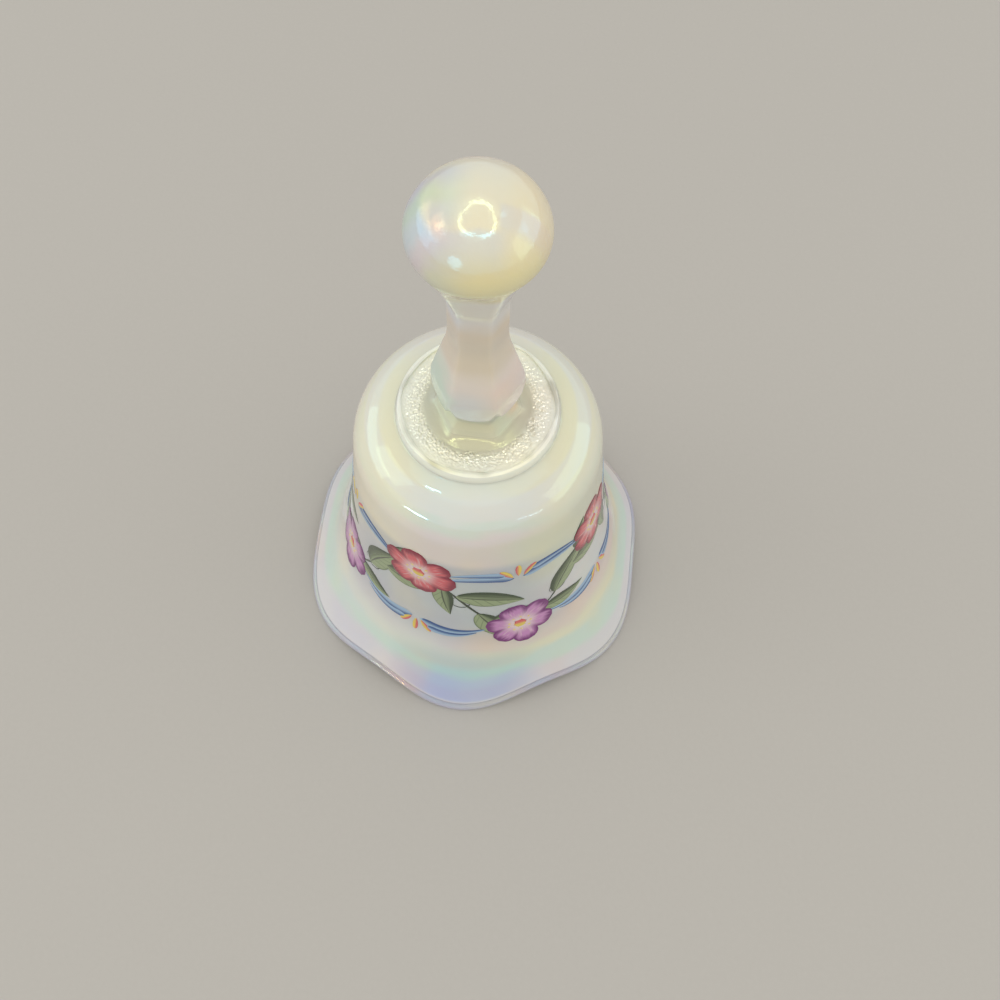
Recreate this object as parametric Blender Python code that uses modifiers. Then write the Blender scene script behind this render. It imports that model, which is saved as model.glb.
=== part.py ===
"""Glass table bell.

An opal glass bell with a six-lobed rim and a glass handle carries a glass clapper inside.
The clapper hangs on a chain of wire links from an eye cemented into the crown.
Units are metres, +Z is up, and the bell stands on z = 0 with its axis on x = y = 0.
"""

import math

import bmesh
import bpy
from mathutils import Vector

MM = 0.001

# The bell, from the shoulder down
SHOULDER_HEIGHT = 77.3 * MM
SHOULDER_RADIUS = 32.2 * MM
SHOULDER_ROUNDING = 14.2 * MM
WALL_TAPER = 0.105
FLARE_REACH = 15.6 * MM
FLARE_HEIGHT = 16.0 * MM
SHOULDER_WALL = 4.0 * MM
RIM_THICKNESS = 2.6 * MM
CROWN_THICKNESS = 5.6 * MM
SEAT_DEPTH = 0.8 * MM
SEAT_ROUNDING = 0.5 * MM

# The hand-crimped rim
LOBES = 6
LOBE_REACH = 1.7 * MM
LOBE_DROP = 1.5 * MM
RUFFLE_HEIGHT = 26.0 * MM
RIM_OFFSET = 1.1 * MM
RIM_OFFSET_AZIMUTH = math.radians(-120)
FOOT_GRINDING = 0.4 * MM
FRONT_AZIMUTH = math.radians(-97)

# The handle, from its disc up to its knob
DISC_RADIUS = 20.4 * MM
DISC_THICKNESS = 2.3 * MM
DISC_DRAFT = 0.6 * MM
BEAD_RING_RADIUS = 0.4 * MM
FOOT_SPREAD = 13.9 * MM
FOOT_HEIGHT = 2.3 * MM
FOOT_RADIUS = 10.0 * MM
FOOT_LEDGE = 1.4 * MM
WAIST_RADIUS = 8.0 * MM
WAIST_LENGTH = 2.6 * MM
KNOP_UNDERCUT = 2.2 * MM
KNOP_RADIUS = 11.5 * MM
KNOP_LIP = 0.8 * MM
KNOP_LENGTH = 7.2 * MM
KNOP_TAPER = 15.0 * MM
NECK_RADIUS = 6.9 * MM
NECK_LENGTH = 14.7 * MM
KNOB_TAPER = 19.2 * MM
KNOB_RADIUS = 14.0 * MM
KNOB_START = math.radians(8)
KNOB_HOLLOW = 0.1 * MM
PANELS = 6
CORNER_CUT = 0.08
CORNER_RAISE = 2.4 * MM
KNOB_TAPER_ROUNDING = 25 * MM
NECK_TOP_ROUNDING = 12 * MM
NECK_BASE_ROUNDING = 16 * MM
KNOP_ROUNDING = 8 * MM
KNOP_EDGE_ROUNDING = 1.0 * MM
WAIST_ROUNDING = 0.5 * MM
FOOT_EDGE_ROUNDING = 0.3 * MM
FOOT_ROUNDING = 3.0 * MM
FOOT_SPREAD_ROUNDING = 1.0 * MM

# The wire eye, the chain and the clapper
WIRE_DIAMETER = 1.2 * MM
EYE_RADIUS = 2.3 * MM
EYE_LEAN = math.radians(24)
EYE_END_GAP = 0.8 * MM
EYE_DROP = 0.9 * MM
SHANK_GRIP = 2.7 * MM
CEMENT_RADIUS = 2.7 * MM
CEMENT_DEPTH = 3.3 * MM
CEMENT_SPILL = 0.5 * MM
CHAIN_LINKS = 5
LINK_LENGTH = 10.2 * MM
LINK_WIDTH = 5.8 * MM
PIN_NECK = 1.1 * MM
PIN_HEAD_RADIUS = 1.4 * MM
PIN_HEAD_LENGTH = 1.6 * MM
PIN_HEAD_CROWN = 0.5 * MM
PIN_HEAD_STEP = 0.1 * MM
CLAPPER_RADIUS = 7.5 * MM

# Clearances between pieces
FIT_GAP = 0.3 * MM
RUNNING_GAP = 0.3 * MM

# Fineness of the surfaces
BELL_STEPS = 84
HANDLE_STEPS = 48
CLAPPER_STEPS = 32
ARC_STEP = math.radians(15)
WALL_POINTS = 14
WALL_CROWDING = 1.5
EYE_STEPS = 22
LINK_END_STEPS = 8
WIRE_BEVEL_STEPS = 2
MERGE_DISTANCE = 0.00001
SHARP_ANGLE = math.radians(35)
STRAIGHT_ANGLE = math.radians(1)
ROUNDING_SHARE = 0.48

# Levels and lengths that follow from the sizes above
CROWN_TOP = SHOULDER_HEIGHT + SHOULDER_ROUNDING
SEAT_LEVEL = CROWN_TOP - SEAT_DEPTH
CEILING_LEVEL = SEAT_LEVEL - CROWN_THICKNESS
HANDLE_BASE = SEAT_LEVEL + FIT_GAP
SOCKET_RADIUS = CEMENT_RADIUS + FIT_GAP
SOCKET_TOP = CEILING_LEVEL + CEMENT_DEPTH + FIT_GAP
CEMENT_TOP = CEILING_LEVEL + CEMENT_DEPTH
CEMENT_BASE = CEILING_LEVEL - CEMENT_SPILL
SHANK_TOP = CEMENT_BASE + SHANK_GRIP
WIRE_RADIUS = WIRE_DIAMETER / 2
EYE_CENTRE = CEMENT_BASE - EYE_DROP - WIRE_RADIUS - EYE_RADIUS
HOOKED_DROP = WIRE_DIAMETER + RUNNING_GAP
LINK_SPAN = LINK_LENGTH - WIRE_DIAMETER
LINK_PITCH = LINK_SPAN - HOOKED_DROP
FIRST_PIVOT = EYE_CENTRE - EYE_RADIUS


def clear_scene():
    """Remove what the scene holds."""
    for item in list(bpy.data.objects):
        bpy.data.objects.remove(item, do_unlink=True)


def make_collection(name):
    """Return a new collection linked to the scene."""
    group = bpy.data.collections.new(name)
    bpy.context.scene.collection.children.link(group)
    return group


def make_material(name, colour, roughness, metallic=0.0):
    """Return a Principled material."""
    material = bpy.data.materials.new(name)
    material.use_nodes = True
    shader = material.node_tree.nodes["Principled BSDF"]
    shader.inputs["Base Color"].default_value = (*colour, 1.0)
    shader.inputs["Roughness"].default_value = roughness
    shader.inputs["Metallic"].default_value = metallic
    return material


def smooth_share(value):
    """Return 0 below 0, 1 above 1, and a smooth rise between."""
    share = min(max(value, 0.0), 1.0)
    return share * share * (3 - 2 * share)


def arc(centre, radius, start, end):
    """Return points (radius, height) along an arc, both ends included."""
    count = max(2, math.ceil(abs(end - start) / ARC_STEP))
    angles = [start + (end - start) * i / count for i in range(count + 1)]
    return [(centre[0] + radius * math.cos(a), centre[1] + radius * math.sin(a)) for a in angles]


def rounded(corners):
    """Return an outline through corners (radius, height, rounding), each rounded by an arc."""
    points = [corners[0][:2]]
    for before, corner, after in zip(corners, corners[1:], corners[2:]):
        here = Vector(corner[:2])
        back = Vector(before[:2]) - here
        ahead = Vector(after[:2]) - here
        opening = back.angle(ahead)
        reach = corner[2] / math.tan(opening / 2) if corner[2] else 0.0
        reach = min(reach, ROUNDING_SHARE * back.length, ROUNDING_SHARE * ahead.length)
        if reach == 0.0 or math.pi - opening < STRAIGHT_ANGLE:
            points.append(tuple(here))
            continue
        radius = reach * math.tan(opening / 2)
        start = here + back.normalized() * reach
        end = here + ahead.normalized() * reach
        middle = (back.normalized() + ahead.normalized()).normalized()
        centre = here + middle * math.hypot(radius, reach)
        first = math.atan2(start.y - centre.y, start.x - centre.x)
        turn = math.remainder(math.atan2(end.y - centre.y, end.x - centre.x) - first, math.tau)
        points += arc(centre, radius, first, first + turn)
    points.append(corners[-1][:2])
    return points


def link_object(name, data, group, material, shade=True):
    """Return a new object with its material, in its collection."""
    item = bpy.data.objects.new(name, data)
    data.materials.append(material)
    group.objects.link(item)
    if shade:
        data.shade_smooth()
        data.set_sharp_from_angle(angle=SHARP_ANGLE)
    return item


def turned_mesh(name, outline, steps, closed=False):
    """Return the mesh of an outline (radius, height), given top to bottom, turned about Z."""
    profile = bpy.data.meshes.new(name + "_outline")
    edges = [(i, i + 1) for i in range(len(outline) - 1)]
    if closed:
        edges.append((len(outline) - 1, 0))
    profile.from_pydata([(r, 0.0, z) for r, z in outline], edges, [])
    holder = bpy.data.objects.new(name + "_outline", profile)
    bpy.context.scene.collection.objects.link(holder)
    screw = holder.modifiers.new("turn", "SCREW")
    screw.axis = "Z"
    screw.angle = math.tau
    screw.steps = steps
    screw.render_steps = steps
    screw.use_merge_vertices = True
    screw.merge_threshold = MERGE_DISTANCE
    evaluated = holder.evaluated_get(bpy.context.evaluated_depsgraph_get())
    mesh = bpy.data.meshes.new_from_object(evaluated)
    mesh.name = name
    bpy.data.objects.remove(holder)
    return mesh


def bell_radius(height):
    """Return the radius of the bell's outside between its shoulder and its rim."""
    flare = math.exp(-height / FLARE_HEIGHT) - math.exp(-SHOULDER_HEIGHT / FLARE_HEIGHT)
    return SHOULDER_RADIUS + WALL_TAPER * (SHOULDER_HEIGHT - height) + FLARE_REACH * flare


def bell_normal(height):
    """Return the unit vector (radius, height) that points out of the bell's side."""
    slope = -WALL_TAPER - FLARE_REACH / FLARE_HEIGHT * math.exp(-height / FLARE_HEIGHT)
    return Vector((1.0, -slope)).normalized()


def wall_thickness(height):
    """Return the wall's thickness, which grows evenly from the rim to the shoulder."""
    return RIM_THICKNESS + (SHOULDER_WALL - RIM_THICKNESS) * height / SHOULDER_HEIGHT


def bell_outline():
    """Return the bell's section from its seat, over the shoulder, round the rim and up inside."""
    ring = SHOULDER_RADIUS - SHOULDER_ROUNDING
    recess = DISC_RADIUS + SEAT_ROUNDING
    shoulder_start = math.acos((recess + SEAT_ROUNDING - ring) / SHOULDER_ROUNDING)
    outside = [(0.0, SEAT_LEVEL), (recess, SEAT_LEVEL)]
    outside += arc((ring, SHOULDER_HEIGHT), SHOULDER_ROUNDING, shoulder_start, 0.0)

    lip_centre = LOBE_DROP + RIM_THICKNESS / 2 - FOOT_GRINDING
    edge = lip_centre + RIM_THICKNESS / 2 * bell_normal(lip_centre).y
    shares = [(i / WALL_POINTS) ** WALL_CROWDING for i in range(WALL_POINTS - 1, -1, -1)]
    levels = [edge + (SHOULDER_HEIGHT - edge) * share for share in shares]
    outside += [(bell_radius(z), z) for z in levels]

    out = bell_normal(edge)
    inner_end = Vector(outside[-1]) - out * wall_thickness(edge)
    middle = (Vector(outside[-1]) + inner_end) / 2
    lip_angle = math.atan2(out.y, out.x)
    lip = arc(middle, wall_thickness(edge) / 2, lip_angle, lip_angle - math.pi)[1:-1]

    inside = [tuple(inner_end)]
    for z in levels[-2:0:-1]:
        inside.append(tuple(Vector((bell_radius(z), z)) - bell_normal(z) * wall_thickness(z)))
    dome_side = SHOULDER_RADIUS - SHOULDER_WALL
    dome_rounding = CEILING_LEVEL - SHOULDER_HEIGHT + SHOULDER_WALL
    dome_level = CEILING_LEVEL - dome_rounding
    inside = [point for point in inside if point[1] < dome_level - SHOULDER_WALL / 2]
    inside += arc((dome_side - dome_rounding, dome_level), dome_rounding, 0.0, math.pi / 2)
    socket = [(SOCKET_RADIUS, CEILING_LEVEL), (SOCKET_RADIUS, SOCKET_TOP), (0.0, SOCKET_TOP)]
    return outside + lip + inside + socket


def crimp_rim(mesh):
    """Push the rim out and down at each lobe, with the azimuth counted from the front lobe."""
    for vertex in mesh.vertices:
        x, y, z = vertex.co
        share = smooth_share(1 - z / RUFFLE_HEIGHT)
        azimuth = math.atan2(y, x)
        wave = math.cos(LOBES * azimuth)
        lean = math.cos(azimuth - RIM_OFFSET_AZIMUTH)
        reach = share * (LOBE_REACH * wave + RIM_OFFSET * lean)
        vertex.co.x += reach * math.cos(azimuth)
        vertex.co.y += reach * math.sin(azimuth)
        vertex.co.z -= share * LOBE_DROP * wave


def grind_foot(mesh):
    """Cut the lobes' undersides flat at z = 0, where the bell stands."""
    shell = bmesh.new()
    shell.from_mesh(mesh)
    everything = shell.verts[:] + shell.edges[:] + shell.faces[:]
    cut = bmesh.ops.bisect_plane(
        shell, geom=everything, plane_co=(0, 0, 0), plane_no=(0, 0, -1), clear_outer=True
    )
    edges = [part for part in cut["geom_cut"] if isinstance(part, bmesh.types.BMEdge)]
    bmesh.ops.holes_fill(shell, edges=edges, sides=0)
    shell.to_mesh(mesh)
    shell.free()


def make_bell(group, glass):
    """Make the bell's glass body, standing on its ground lobes."""
    mesh = turned_mesh("bell_body", bell_outline(), BELL_STEPS)
    crimp_rim(mesh)
    grind_foot(mesh)
    bell = link_object("bell_body", mesh, group, glass)
    bell.rotation_euler.z = FRONT_AZIMUTH
    return bell


def handle_levels():
    """Return the handle's levels by name, counted up from the underside of its disc."""
    lengths = (
        ("disc", DISC_THICKNESS),
        ("foot", FOOT_HEIGHT),
        ("ledge", FOOT_LEDGE),
        ("waist", WAIST_LENGTH),
        ("knop_edge", KNOP_UNDERCUT),
        ("knop", KNOP_LENGTH),
        ("neck_base", KNOP_TAPER),
        ("neck_top", NECK_LENGTH),
        ("knob", KNOB_TAPER),
    )
    levels = {}
    total = 0.0
    for name, length in lengths:
        total += length
        levels[name] = total
    return levels


def handle_outline(levels):
    """Return the handle's section from the top of the knob to the middle of its underside."""
    knob_centre = levels["knob"] - KNOB_RADIUS * math.sin(KNOB_START)
    knob = arc((0.0, knob_centre), KNOB_RADIUS, math.pi / 2, KNOB_START)
    rim_radius = DISC_RADIUS - DISC_DRAFT
    ring_centre = rim_radius - BEAD_RING_RADIUS
    taper_radius = (knob[-1][0] + NECK_RADIUS) / 2 - KNOB_HOLLOW
    stem = rounded([
        (*knob[-1], 0.0),
        (taper_radius, levels["knob"] - KNOB_TAPER / 2, KNOB_TAPER_ROUNDING),
        (NECK_RADIUS, levels["neck_top"], NECK_TOP_ROUNDING),
        (NECK_RADIUS, levels["neck_base"], NECK_BASE_ROUNDING),
        (KNOP_RADIUS, levels["knop"], KNOP_ROUNDING),
        (KNOP_RADIUS, levels["knop_edge"] + KNOP_LIP, KNOP_EDGE_ROUNDING),
        (KNOP_RADIUS - KNOP_LIP, levels["knop_edge"], 0.0),
        (WAIST_RADIUS, levels["waist"], WAIST_ROUNDING),
        (WAIST_RADIUS, levels["ledge"], WAIST_ROUNDING),
        (FOOT_RADIUS, levels["foot"], FOOT_EDGE_ROUNDING),
        (FOOT_RADIUS + FOOT_HEIGHT / 3, levels["foot"] - FOOT_HEIGHT / 2, FOOT_ROUNDING),
        (FOOT_SPREAD, levels["disc"], FOOT_SPREAD_ROUNDING),
        (ring_centre - BEAD_RING_RADIUS, levels["disc"], 0.0),
    ])
    ring = arc((ring_centre, levels["disc"]), BEAD_RING_RADIUS, math.pi, 0.0)[1:]
    return knob[:-1] + stem + ring + [(DISC_RADIUS, 0.0), (0.0, 0.0)]


def panel_stem(mesh, levels):
    """Press the flat panels into the stem, and scallop the knop's lower edge between them."""
    half_panel = math.pi / PANELS
    for vertex in mesh.vertices:
        x, y, z = vertex.co
        above_disc = smooth_share((z - levels["disc"]) / (FOOT_HEIGHT / 2))
        below_knob = smooth_share((levels["neck_top"] + KNOB_TAPER / 3 - z) / (KNOB_TAPER / 2))
        over_edge = smooth_share(1 - (z - levels["knop_edge"]) / KNOP_LENGTH)
        under_edge = smooth_share((z - levels["waist"]) / KNOP_UNDERCUT)
        scallop = over_edge * under_edge

        from_middle = abs(math.remainder(math.atan2(y, x), 2 * half_panel))
        panel = math.cos(half_panel) / math.cos(from_middle)
        corner = (1 - CORNER_CUT * scallop) / math.cos(half_panel - from_middle)
        scale = 1 + above_disc * below_knob * (min(panel, corner) - 1)
        vertex.co.x *= scale
        vertex.co.y *= scale
        vertex.co.z += CORNER_RAISE * scallop * (from_middle / half_panel) ** 2


def make_handle(group, glass):
    """Make the handle: knob, panelled neck, knop, foot and disc in one piece of glass."""
    levels = handle_levels()
    mesh = turned_mesh("handle", handle_outline(levels), HANDLE_STEPS)
    panel_stem(mesh, levels)
    handle = link_object("handle", mesh, group, glass)
    handle.location.z = HANDLE_BASE
    handle.rotation_euler.z = FRONT_AZIMUTH
    return handle


def make_cement(group, material):
    """Make the plug of cement that holds the eye's shank in the crown."""
    bore = WIRE_RADIUS + FIT_GAP
    outline = [
        (0.0, CEMENT_TOP),
        (CEMENT_RADIUS, CEMENT_TOP),
        (CEMENT_RADIUS, CEILING_LEVEL),
        ((CEMENT_RADIUS + bore) / 2, CEMENT_BASE + CEMENT_SPILL / 4),
        (bore, CEMENT_BASE),
        (bore, SHANK_TOP + FIT_GAP),
        (0.0, SHANK_TOP + FIT_GAP),
    ]
    mesh = turned_mesh("crown_cement", outline, CLAPPER_STEPS)
    return link_object("crown_cement", mesh, group, material)


def make_wire(name, points, group, material, closed=False, widths=None):
    """Make a round wire through points."""
    data = bpy.data.curves.new(name, "CURVE")
    data.dimensions = "3D"
    data.bevel_depth = WIRE_RADIUS
    data.bevel_resolution = WIRE_BEVEL_STEPS
    data.use_fill_caps = True
    spline = data.splines.new("POLY")
    spline.points.add(len(points) - 1)
    for i, point in enumerate(points):
        spline.points[i].co = (*point, 1.0)
        spline.points[i].radius = widths[i] if widths else 1.0
    spline.use_cyclic_u = closed
    return link_object(name, data, group, material, shade=False)


def eye_loop(centre, side):
    """Return points round an eye from its stem, which is above it (side 1) or below it (-1)."""
    start = math.pi / 2 - EYE_LEAN
    sweep = math.tau - 2 * math.asin((WIRE_DIAMETER + EYE_END_GAP) / 2 / EYE_RADIUS)
    points = []
    for i in range(EYE_STEPS + 1):
        angle = start - sweep * i / EYE_STEPS
        height = centre + side * EYE_RADIUS * math.sin(angle)
        points.append((EYE_RADIUS * math.cos(angle), 0.0, height))
    return points


def make_eye(group, material):
    """Make the eye that carries the chain, with its shank up in the cement."""
    neck = EYE_CENTRE + EYE_RADIUS + EYE_DROP
    points = [(0.0, 0.0, SHANK_TOP), (0.0, 0.0, neck)] + eye_loop(EYE_CENTRE, 1)
    return make_wire("crown_eye", points, group, material)


def make_link(number, parent, group, material):
    """Make a link that hangs from the wire above it, turned a quarter from its neighbours."""
    end_radius = (LINK_WIDTH - WIRE_DIAMETER) / 2
    straight = LINK_SPAN - 2 * end_radius
    upper = HOOKED_DROP - end_radius
    points = []
    for centre, start in ((upper, 0.0), (upper - straight, math.pi)):
        for i in range(LINK_END_STEPS + 1):
            angle = start + math.pi * i / LINK_END_STEPS
            across = end_radius * math.cos(angle)
            height = centre + end_radius * math.sin(angle)
            points.append((0.0, across, height) if number % 2 else (across, 0.0, height))
    link = make_wire(f"chain_link_{number}", points, group, material, closed=True)
    link.parent = parent
    link.location.z = -LINK_PITCH if parent else FIRST_PIVOT
    return link


def make_clapper(parent, group, wire, glass):
    """Make the clapper: a headed eye pin that carries a glass ball."""
    eye_centre = HOOKED_DROP - EYE_RADIUS
    ball_top = eye_centre - EYE_RADIUS - WIRE_RADIUS - PIN_NECK
    bore = WIRE_RADIUS + FIT_GAP
    half_bore = math.sqrt(CLAPPER_RADIUS ** 2 - bore ** 2)
    ball_centre = ball_top - half_bore
    head_top = ball_centre - half_bore - FIT_GAP

    head_width = PIN_HEAD_RADIUS / WIRE_RADIUS
    crown_width = head_width - PIN_HEAD_CROWN / WIRE_RADIUS
    loop = eye_loop(eye_centre, -1)[::-1]
    stem = (
        (eye_centre - EYE_RADIUS - PIN_NECK / 2, 1.0),
        (head_top + PIN_HEAD_STEP, 1.0),
        (head_top, head_width),
        (head_top - PIN_HEAD_LENGTH + PIN_HEAD_CROWN, head_width),
        (head_top - PIN_HEAD_LENGTH, crown_width),
    )
    points = loop + [(0.0, 0.0, height) for height, width in stem]
    widths = [1.0] * len(loop) + [width for height, width in stem]
    pin = make_wire("clapper_pin", points, group, wire, widths=widths)
    pin.parent = parent
    pin.location.z = -LINK_PITCH

    lean = math.asin(bore / CLAPPER_RADIUS)
    outline = arc((0.0, ball_centre), CLAPPER_RADIUS, math.pi / 2 - lean, lean - math.pi / 2)
    ball_mesh = turned_mesh("clapper_ball", outline, CLAPPER_STEPS, closed=True)
    ball = link_object("clapper_ball", ball_mesh, group, glass)
    ball.parent = pin
    return pin, ball


def main():
    """Build the bell."""
    clear_scene()
    group = make_collection("glass_table_bell")
    opal = make_material("opal_glass", (0.87, 0.84, 0.76), 0.12)
    pearl = make_material("pearl_glass", (0.84, 0.82, 0.76), 0.14)
    cement = make_material("white_cement", (0.78, 0.76, 0.70), 0.85)
    wire = make_material("plated_wire", (0.74, 0.73, 0.70), 0.25, metallic=1.0)
    ball_glass = make_material("clapper_glass", (0.86, 0.85, 0.80), 0.10)

    make_bell(group, opal)
    make_handle(group, pearl)
    make_cement(group, cement)
    make_eye(group, wire)
    hanger = None
    for number in range(1, CHAIN_LINKS + 1):
        hanger = make_link(number, hanger, group, wire)
    make_clapper(hanger, group, wire, ball_glass)
    bpy.context.view_layer.update()


main()
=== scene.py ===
"""Glass table bell.

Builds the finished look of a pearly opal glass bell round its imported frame: the glass, the
painted garland, the cemented eye, the wire chain and the clapper, on a plain studio stage.
Lengths are metres, +Z is up, the bell stands on z = 0 and the camera looks down along +Y.
"""

import math
import random

import bmesh
import bpy
from bpy.props import FloatProperty, FloatVectorProperty, IntProperty, PointerProperty
from mathutils import Matrix, Vector, noise


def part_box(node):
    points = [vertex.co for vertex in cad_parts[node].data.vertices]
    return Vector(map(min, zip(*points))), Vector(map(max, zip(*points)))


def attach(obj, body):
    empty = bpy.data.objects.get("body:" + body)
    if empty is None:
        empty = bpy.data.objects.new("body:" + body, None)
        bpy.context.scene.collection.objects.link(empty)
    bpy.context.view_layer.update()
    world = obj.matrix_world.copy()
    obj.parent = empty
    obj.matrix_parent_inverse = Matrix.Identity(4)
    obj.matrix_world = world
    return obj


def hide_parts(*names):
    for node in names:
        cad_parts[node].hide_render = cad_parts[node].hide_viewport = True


bl_info = {
    "name": "Glass Table Bell",
    "version": (1, 0, 0),
    "blender": (4, 5, 0),
    "location": "View3D > Sidebar > Bell",
    "description": "Builds a pearly glass table bell with a painted garland",
    "category": "Object",
}

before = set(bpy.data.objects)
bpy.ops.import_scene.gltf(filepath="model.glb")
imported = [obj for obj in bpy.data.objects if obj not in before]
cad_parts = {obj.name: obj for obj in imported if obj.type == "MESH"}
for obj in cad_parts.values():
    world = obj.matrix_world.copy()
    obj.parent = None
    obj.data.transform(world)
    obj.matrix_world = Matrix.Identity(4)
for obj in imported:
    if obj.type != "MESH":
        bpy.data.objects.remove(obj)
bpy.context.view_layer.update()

MM = 0.001
WELD = 0.000001


def frame_span(node, axis):
    """Return how far a node of the frame reaches along an axis."""
    low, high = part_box(node)
    return high[axis] - low[axis]


HANDLE_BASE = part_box("handle")[0].z
WIRE_DIAMETER = frame_span("chain_link_1", 0)
LINK_WIDTH = frame_span("chain_link_1", 1)


def length(name, description, millimetres):
    """Return a property that holds a length."""
    return FloatProperty(
        name=name, description=description, default=millimetres * MM, unit="LENGTH", precision=5
    )


def turn(name, description, degrees):
    """Return a property that holds an angle."""
    return FloatProperty(
        name=name, description=description, default=math.radians(degrees), subtype="ANGLE"
    )


def share(name, description, value):
    """Return a property that holds a plain number."""
    return FloatProperty(name=name, description=description, default=value, precision=4)


def count(name, description, value):
    """Return a property that holds a whole number."""
    return IntProperty(name=name, description=description, default=value, min=1)


def tint(name, description, red, green, blue):
    """Return a property that holds a colour."""
    return FloatVectorProperty(
        name=name,
        description=description,
        default=(red, green, blue),
        subtype="COLOR",
        min=0.0,
        max=1.0,
    )


class BellSizes(bpy.types.PropertyGroup):
    """Sizes of the bell's glass body."""

    shoulder_height: length("Shoulder height", "Level where the shoulder's curve starts", 77.3)
    shoulder_radius: length("Shoulder radius", "Radius of the wall under the shoulder", 32.2)
    shoulder_rounding: length("Shoulder rounding", "Radius of the shoulder's curve", 14.2)
    wall_taper: share("Wall taper", "How much the wall widens for each unit of fall", 0.105)
    flare_reach: length("Flare reach", "How far the skirt flares past the wall's line", 15.6)
    flare_height: length("Flare height", "Fall over which the flare grows 2.7 times", 16.0)
    shoulder_wall: length("Shoulder wall", "Thickness of the glass at the shoulder", 4.0)
    rim_thickness: length("Rim thickness", "Thickness of the glass at the rim", 2.6)
    crown_thickness: length("Crown thickness", "Thickness of the glass under the handle", 5.6)
    seat_depth: length("Seat depth", "How deep the handle's seat lies in the crown", 0.5)
    seat_radius: length("Seat radius", "Radius of the handle's seat", 20.2)
    seat_lip: length("Seat lip", "How far the crown's glass is drawn up round the handle", 0.5)
    seat_fillet: length("Seat fillet", "Width over which the crown rises to the seat's lip", 1.3)
    lobes: count("Lobes", "Number of lobes crimped into the rim", 6)
    lobe_reach: length("Lobe reach", "How far a lobe stands out", 1.65)
    lobe_drop: length("Lobe drop", "How far a lobe hangs down", 1.5)
    ruffle_height: length("Ruffle height", "Height of the skirt that the crimping bends", 26.0)
    rim_lean: length("Rim lean", "How far the rim lies off the bell's axis", 1.1)
    lean_azimuth: turn("Lean azimuth", "Direction of the rim's lean from the front lobe", -120)
    foot_grinding: length("Foot grinding", "Depth ground off under the lobes", 0.4)
    groove_height: length("Groove height", "Level of the groove above the rim's bead", 4.05)
    groove_width: length("Groove width", "Half the width of the groove", 0.34)
    groove_depth: length("Groove depth", "Depth of the groove above the rim's bead", 0.24)
    front_azimuth: turn("Front azimuth", "Direction that the front lobe faces", -97)
    socket_radius: length("Socket radius", "Radius of the socket for the cement", 3.0)
    socket_depth: length("Socket depth", "Depth of the socket for the cement", 3.6)


class HandleSizes(bpy.types.PropertyGroup):
    """Sizes of the glass handle."""

    disc_radius: length("Disc radius", "Radius of the disc at the handle's base", 20.4)
    disc_thickness: length("Disc thickness", "Height of the disc", 2.3)
    disc_draft: length("Disc draft", "How much the disc narrows to its top", 0.6)
    bead_radius: length("Bead radius", "Radius of the bead round the disc", 0.46)
    foot_spread: length("Foot spread", "Radius of the foot where it meets the disc", 12.4)
    foot_height: length("Foot height", "Height of the foot's flare", 2.3)
    foot_radius: length("Foot radius", "Radius of the foot's upper edge", 10.0)
    foot_ledge: length("Foot ledge", "Rise from the foot's edge to the waist", 1.4)
    waist_radius: length("Waist radius", "Radius under the knop", 8.0)
    waist_length: length("Waist length", "Height of the waist", 2.6)
    knop_undercut: length("Knop undercut", "Rise from the waist to the knop's edge", 2.2)
    knop_radius: length("Knop radius", "Largest radius of the knop", 11.5)
    knop_lip: length("Knop lip", "Width of the knop's lower lip", 0.8)
    knop_length: length("Knop length", "Height of the knop's straight part", 7.2)
    knop_taper: length("Knop taper", "Height over which the knop narrows to the neck", 15.0)
    neck_radius: length("Neck radius", "Radius of the neck at its corners", 7.0)
    neck_length: length("Neck length", "Height of the neck's straight part", 13.9)
    knob_rise: length("Knob rise", "Rise from the neck to the middle of the ball knob", 18.05)
    knob_radius: length("Knob radius", "Radius of the ball knob, upright", 14.0)
    knob_spread: share("Knob spread", "How much wider than high the ball knob is", 1.03)
    knob_turn: turn("Knob turn", "Angle above the ball's middle where its heel starts", 20)
    knob_heel: length("Knob heel", "Radius of the heel between the ball and its taper", 8.6)
    knob_lean: turn("Knob lean", "How far the taper under the heel leans in", 21.5)
    panels: count("Panels", "Number of flat panels pressed round the stem", 6)
    panel_rise: length("Panel rise", "How far the panels run up into the knob's taper", 18.5)
    panel_fade: length("Panel fade", "Height over which the panels run out in the knob", 8.0)
    arris: turn("Arris", "Half the turn over which the edge between two panels is rounded", 1.6)
    corner_cut: share("Corner cut", "How far the knop's corners are cut back", 0.08)
    corner_raise: length("Corner raise", "How far the knop's lower edge rises at its corners", 2.4)
    stipple_depth: length("Stipple depth", "Depth of the stippling on the disc", 0.21)
    stipple_grain: length("Stipple grain", "Size of one stipple", 0.54)


class WireSizes(bpy.types.PropertyGroup):
    """Sizes of the eye, the chain, the clapper and its pin."""

    wire_diameter: length("Wire diameter", "Diameter of the wire throughout", WIRE_DIAMETER / MM)
    link_width: length("Link width", "Width of a link over its wire", LINK_WIDTH / MM)
    eye_radius: length("Eye radius", "Radius of an eye to the middle of its wire", 2.3)
    eye_lean: turn("Eye lean", "Turn from the stem to where the eye's ring starts", 24)
    eye_gap: length("Eye gap", "Gap between an eye's end and its stem", 0.8)
    eye_drop: length("Eye drop", "Length of straight wire above the eye", 0.9)
    head_radius: length("Head radius", "Radius of the pin's head", 1.4)
    head_length: length("Head length", "Height of the pin's head", 1.6)
    clearance: length("Clearance", "Gap round the wire in the cement and in the ball", 0.3)
    cement_radius: length("Cement radius", "Radius of the plug of cement", 2.7)


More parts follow.
